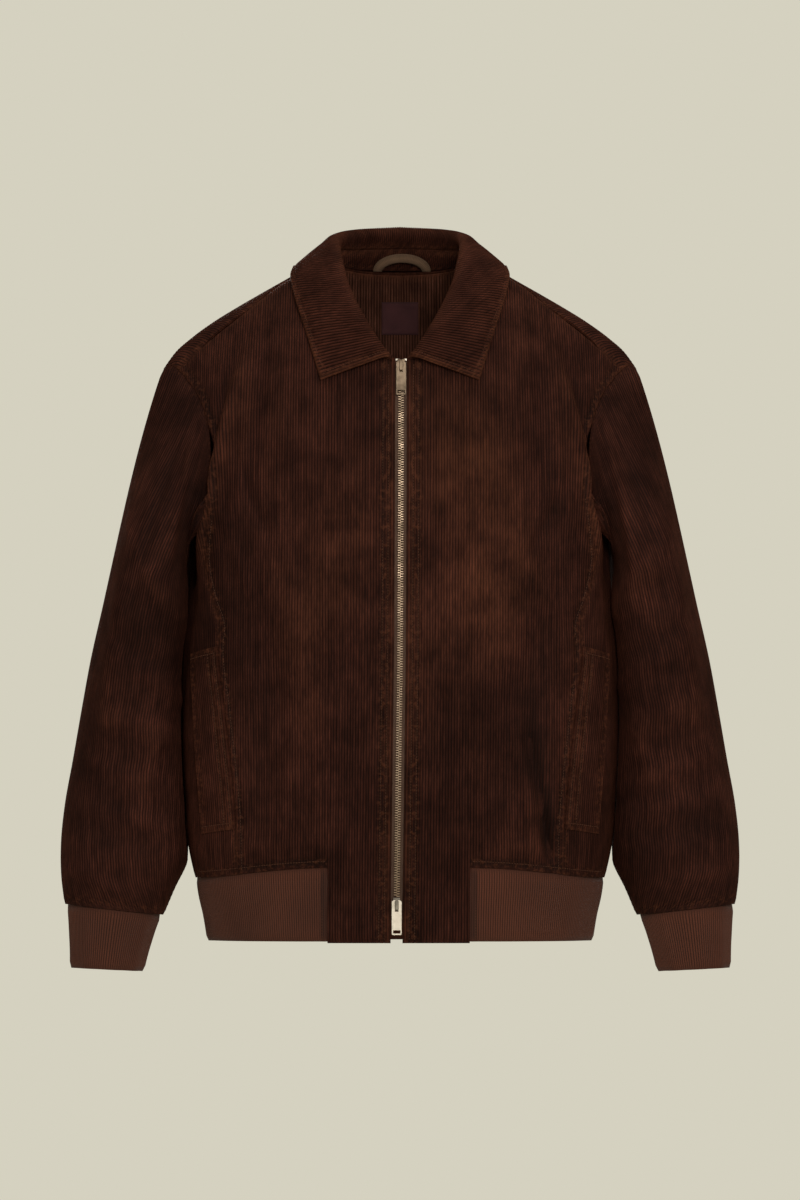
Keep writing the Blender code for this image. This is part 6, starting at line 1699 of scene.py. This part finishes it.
def finish_for(name, colours):
    """The material of that name, made once."""
    own = "jacket_" + name
    recipes = {
        "corduroy": (corduroy, colours.crest, colours.groove, colours.rubbed),
        # lighter copy of the corduroy for the facing: painted light
        "corduroy_inside": (corduroy, colours.inside, shade(colours.inside, 0.25), colours.rubbed),
        "rib_knit": (rib_knit, colours.knit),
        "zip_tape": (flat_weave, colours.tape, 0.0011, 0.0009, 0.0, 3.0),
        "loop_tape": (flat_weave, colours.loop, 0.0014, 0.0014, 1.0, 2.5),
        "woven_label": (flat_weave, colours.label, 0.0006, 0.0006, 0.5, 1.5),
        "antique_brass": (metal, colours.brass, 1.0, 0.55, 0.0),
        "aged_brass": (metal, colours.brass, 0.46, 0.16, 0.05),
        "pale_nickel": (metal, colours.nickel, 1.0, 0.75, -0.1),
        "dull_nickel": (metal, colours.nickel, 0.5, 0.2, 0.1),
        "thread": (thread, colours.thread),
    }
    maker, *values = recipes[name]
    return bpy.data.materials.get(own) or maker(own, *values)


def sewn(piece, slot, flat=None, area=None, held="hung", rests_on=()):
    """Rides a piece on the garment, in place of its solid."""
    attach(piece, "garment")
    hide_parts(piece.name[: -len("_cloth")])
    if flat:
        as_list(rests_on)


SIDES = (("left", 1), ("right", -1))


class MakePieces:
    """What the operators share: the sizes, the colours and a way to end."""

    bl_options = {"REGISTER", "UNDO"}

    def execute(self, context):
        self.make(context, context.scene.jacket_sizes, context.scene.jacket_colours)
        return {"FINISHED"}


class JACKET_OT_fronts(MakePieces, bpy.types.Operator):
    """Makes both fronts with their tabs"""

    bl_idname = "jacket.fronts"
    bl_label = "Fronts"

    def make(self, context, sizes, colours):
        for label, side in SIDES:
            piece = make_front(f"front_{label}_cloth", side, sizes, finish_for("corduroy", colours))
            sewn(piece, "corduroy", (0.250, 0.655), 0.116, rests_on=["back"])


class JACKET_OT_sides(MakePieces, bpy.types.Operator):
    """Makes both side panels with their pocket welts"""

    bl_idname = "jacket.sides"
    bl_label = "Side panels and welts"

    def make(self, context, sizes, colours):
        finish = finish_for("corduroy", colours)
        for label, side in SIDES:
            piece = make_side(f"side_{label}_cloth", side, sizes, finish)
            sewn(piece, "corduroy", (0.160, 0.385), 0.049, rests_on=["front_" + label])
            piece = make_welt(f"pocket_welt_{label}_cloth", side, sizes, finish)
            sewn(piece, "corduroy", (0.049, 0.190), None, "laid", ["side_" + label])


class JACKET_OT_back(MakePieces, bpy.types.Operator):
    """Makes the back, which reaches over the shoulders"""

    bl_idname = "jacket.back"
    bl_label = "Back"

    def make(self, context, sizes, colours):
        piece = make_back("back_cloth", sizes, finish_for("corduroy", colours))
        sewn(piece, "corduroy", (0.530, 0.655), 0.270, rests_on=["collar_stand"])


class JACKET_OT_sleeves(MakePieces, bpy.types.Operator):
    """Makes both sleeves"""

    bl_idname = "jacket.sleeves"
    bl_label = "Sleeves"

    def make(self, context, sizes, colours):
        for label, side in SIDES:
            piece = make_sleeve(f"sleeve_{label}_cloth", side, sizes, finish_for("corduroy", colours))
            sewn(piece, "corduroy", (0.440, 0.600), 0.195, rests_on=["back"])


class JACKET_OT_collar(MakePieces, bpy.types.Operator):
    """Makes the collar's stand and fall"""

    bl_idname = "jacket.collar"
    bl_label = "Collar"

    def make(self, context, sizes, colours):
        _, knots = collar_surface(0.01)
        finish = finish_for("corduroy", colours)
        piece = collar_part("collar_stand_cloth", 0.0, knots[1] - LAY_GAP, sizes, finish)
        sewn(piece, "corduroy", (0.440, 0.020), None, "folded", ["back"])
        piece = collar_part("collar_fall_cloth", knots[1] + LAY_GAP, knots[-1], sizes, finish)
        sewn(piece, "corduroy", (0.560, 0.095), None, "folded", ["collar_stand"])


class JACKET_OT_ribs(MakePieces, bpy.types.Operator):
    """Makes the knit hem and cuffs"""

    bl_idname = "jacket.ribs"
    bl_label = "Knit hem and cuffs"

    def make(self, context, sizes, colours):
        knit = finish_for("rib_knit", colours)
        piece = make_hem_rib("hem_rib_cloth", sizes, knit)
        sewn(piece, "rib_knit", (0.950, 0.070), None, "stretched", ["back"])
        for label, side in SIDES:
            piece = make_cuff(f"cuff_{label}_cloth", side, sizes, knit)
            sewn(piece, "rib_knit", (0.270, 0.059), None, "stretched", ["sleeve_" + label])


class JACKET_OT_neck(MakePieces, bpy.types.Operator):
    """Makes the facing, the blank label and the hanger loop inside the neck"""

    bl_idname = "jacket.neck"
    bl_label = "Neck facing, label and loop"

    def make(self, context, sizes, colours):
        piece = make_facing("back_facing_cloth", sizes, finish_for("corduroy_inside", colours))
        sewn(piece, "corduroy", (0.156, 0.140), 0.017, "laid", ["back"])
        piece = make_label("label_cloth", finish_for("woven_label", colours))
        sewn(piece, "woven_label", (0.038, 0.034), None, "laid", ["back_facing"])
        piece = make_loop("hanger_loop_cloth", finish_for("loop_tape", colours))
        sewn(piece, "loop_tape", (0.069, 0.010), None, "hung", ["collar_stand"])


class JACKET_OT_zip(MakePieces, bpy.types.Operator):
    """Makes the zip's tapes and teeth, and finishes its sliders, pulls and stops"""

    bl_idname = "jacket.zip"
    bl_label = "Zip"

    def make(self, context, sizes, colours):
        for label, side in SIDES:
            piece = make_tape(f"zip_tape_{label}_cloth", side, finish_for("zip_tape", colours))
            sewn(piece, "zip_tape", (0.0128, 0.566), None, "hung", ["front_" + label])
        sewn(make_teeth("zip_chain_cloth", sizes, finish_for("antique_brass", colours)), "antique_brass")
        kept = dict.fromkeys(("top_slider", "top_pull"), "aged_brass") | {"bottom_slider": "dull_nickel"}
        kept |= dict.fromkeys(("bottom_pull", "zip_stop_left", "zip_stop_right"), "pale_nickel")
        for name, finish in kept.items():
            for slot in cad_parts[name].material_slots:
                slot.material = finish_for(finish, colours)


class JACKET_OT_topstitching(MakePieces, bpy.types.Operator):
    """Sews the topstitching"""

    bl_idname = "jacket.topstitching"
    bl_label = "Topstitching"

    def make(self, context, sizes, colours):
        piece = make_stitches("topstitching", topstitch_rows(sizes), sizes, finish_for("thread", colours))
        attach(piece, "garment")


FLOOR = -1.32
FLOOR_SIDES = 96
FLOOR_RADII = np.linspace(0.5, 2.0, 4)
WORLD_LIGHT = 0.42  # of the surroundings on the jacket
CAMERA_DISTANCE = 30.0
VIEW_HEIGHT = 1.2
VIEW_CENTRE = -0.342
VIEW_DEPTH = 0.08  # the view has its height this far in front of the origin
SENSOR = 36.0  # millimetres, as the lens
LIGHT_AIM = (0.0, 0.0, -0.35)
LIGHTS = (
    # name, place, size, power
    ("key", (0.5, -3.4, 0.7), 1.0, 51.0),
    ("left fill", (-2.6, -1.9, 0.2), 1.4, 13.0),
    ("right fill", (2.6, -1.9, 0.2), 1.4, 16.0),
    ("top", (0.0, -0.6, 2.6), 1.0, 22.0),
    ("rear", (-0.6, 3.0, 0.6), 1.6, 52.0),
)


class JACKET_OT_stage(MakePieces, bpy.types.Operator):
    """Sets the floor, the lights and the camera"""

    bl_idname = "jacket.stage"
    bl_label = "Floor, light and camera"

    def make(self, context, sizes, colours):
        turn, radius = np.meshgrid(np.linspace(0, 2 * np.pi, FLOOR_SIDES, endpoint=False), FLOOR_RADII)
        rings = xyz(radius * np.cos(turn), radius * np.sin(turn), np.full_like(turn, FLOOR))
        k = np.arange(FLOOR_SIDES)
        nxt, start = (k + 1) % FLOOR_SIDES, (np.arange(len(FLOOR_RADII) - 1) * FLOOR_SIDES)[:, None]
        bands = xyz(start + k, start + FLOOR_SIDES + k, start + FLOOR_SIDES + nxt, start + nxt).reshape(-1, 4)
        mesh = bpy.data.meshes.new("floor")
        mesh.from_pydata(rings.reshape(-1, 3).tolist(), [], bands.tolist() + [k.tolist()])
        mesh.materials.append(paper("floor_paper", colours.floor))
        put_object("floor", mesh)
        world = bpy.data.worlds.new("studio")
        world.use_nodes = True
        tree = world.node_tree
        seen = tree.nodes.new("ShaderNodeLightPath").outputs["Is Camera Ray"]
        strength = node(tree, "ShaderNodeMapRange", Value=seen, To_Min=WORLD_LIGHT, To_Max=1.0).outputs[0]
        join(tree, colours.floor, tree.nodes["Background"].inputs[0])
        join(tree, strength, tree.nodes["Background"].inputs[1])
        context.scene.world = world
        context.scene.view_settings.view_transform = "Standard"
        for name, place, size, power in LIGHTS:
            lamp = bpy.data.lights.new(name, "AREA")
            lamp.shape, lamp.size, lamp.energy = "DISK", size, power
            lamp.color = (1.0, 0.97, 0.93)
            made = put_object(name, lamp)
            made.location = place
            aim = mathutils.Vector(LIGHT_AIM) - made.location
            made.rotation_euler = aim.to_track_quat("-Z", "Y").to_euler()
        camera = bpy.data.cameras.new("camera")
        camera.sensor_fit, camera.sensor_height = "VERTICAL", SENSOR
        camera.lens = SENSOR * (CAMERA_DISTANCE - VIEW_DEPTH) / VIEW_HEIGHT
        camera.clip_end = 80.0
        made = put_object("camera", camera)
        made.location = (0.0, -CAMERA_DISTANCE, VIEW_CENTRE)
        made.rotation_euler = (np.pi / 2, 0.0, 0.0)
        context.scene.camera = made


class JACKET_PT_panel(bpy.types.Panel):
    """Lists the jacket's pieces, sizes and colours"""

    bl_label = "Corduroy jacket"
    bl_idname = "JACKET_PT_panel"
    bl_space_type = "VIEW_3D"
    bl_region_type = "UI"
    bl_category = "Jacket"

    def draw(self, context):
        for group in (context.scene.jacket_sizes, context.scene.jacket_colours):
            for name in group.__annotations__:
                self.layout.prop(group, name)
        for made in OPERATORS:
            self.layout.operator(made.bl_idname)


OPERATORS = (
    JACKET_OT_stage,
    JACKET_OT_fronts,
    JACKET_OT_sides,
    JACKET_OT_back,
    JACKET_OT_sleeves,
    JACKET_OT_collar,
    JACKET_OT_ribs,
    JACKET_OT_neck,
    JACKET_OT_zip,
    JACKET_OT_topstitching,
)
CLASSES = (JacketSizes, JacketColours) + OPERATORS + (JACKET_PT_panel,)


def register():
    """Adds the classes and the scene's groups of sizes and colours."""
    for made in CLASSES:
        bpy.utils.register_class(made)
    bpy.types.Scene.jacket_sizes = bpy.props.PointerProperty(type=JacketSizes)
    bpy.types.Scene.jacket_colours = bpy.props.PointerProperty(type=JacketColours)


def unregister():
    """Takes them away again."""
    del bpy.types.Scene.jacket_colours
    del bpy.types.Scene.jacket_sizes
    for made in reversed(CLASSES):
        bpy.utils.unregister_class(made)


def main():
    """Registers the add-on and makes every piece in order."""
    register()
    bpy.ops.jacket.stage()
    bpy.ops.jacket.fronts()
    bpy.ops.jacket.sides()
    bpy.ops.jacket.back()
    bpy.ops.jacket.sleeves()
    bpy.ops.jacket.collar()
    bpy.ops.jacket.ribs()
    bpy.ops.jacket.neck()
    bpy.ops.jacket.zip()
    bpy.ops.jacket.topstitching()


if __name__ == "__main__":
    main()
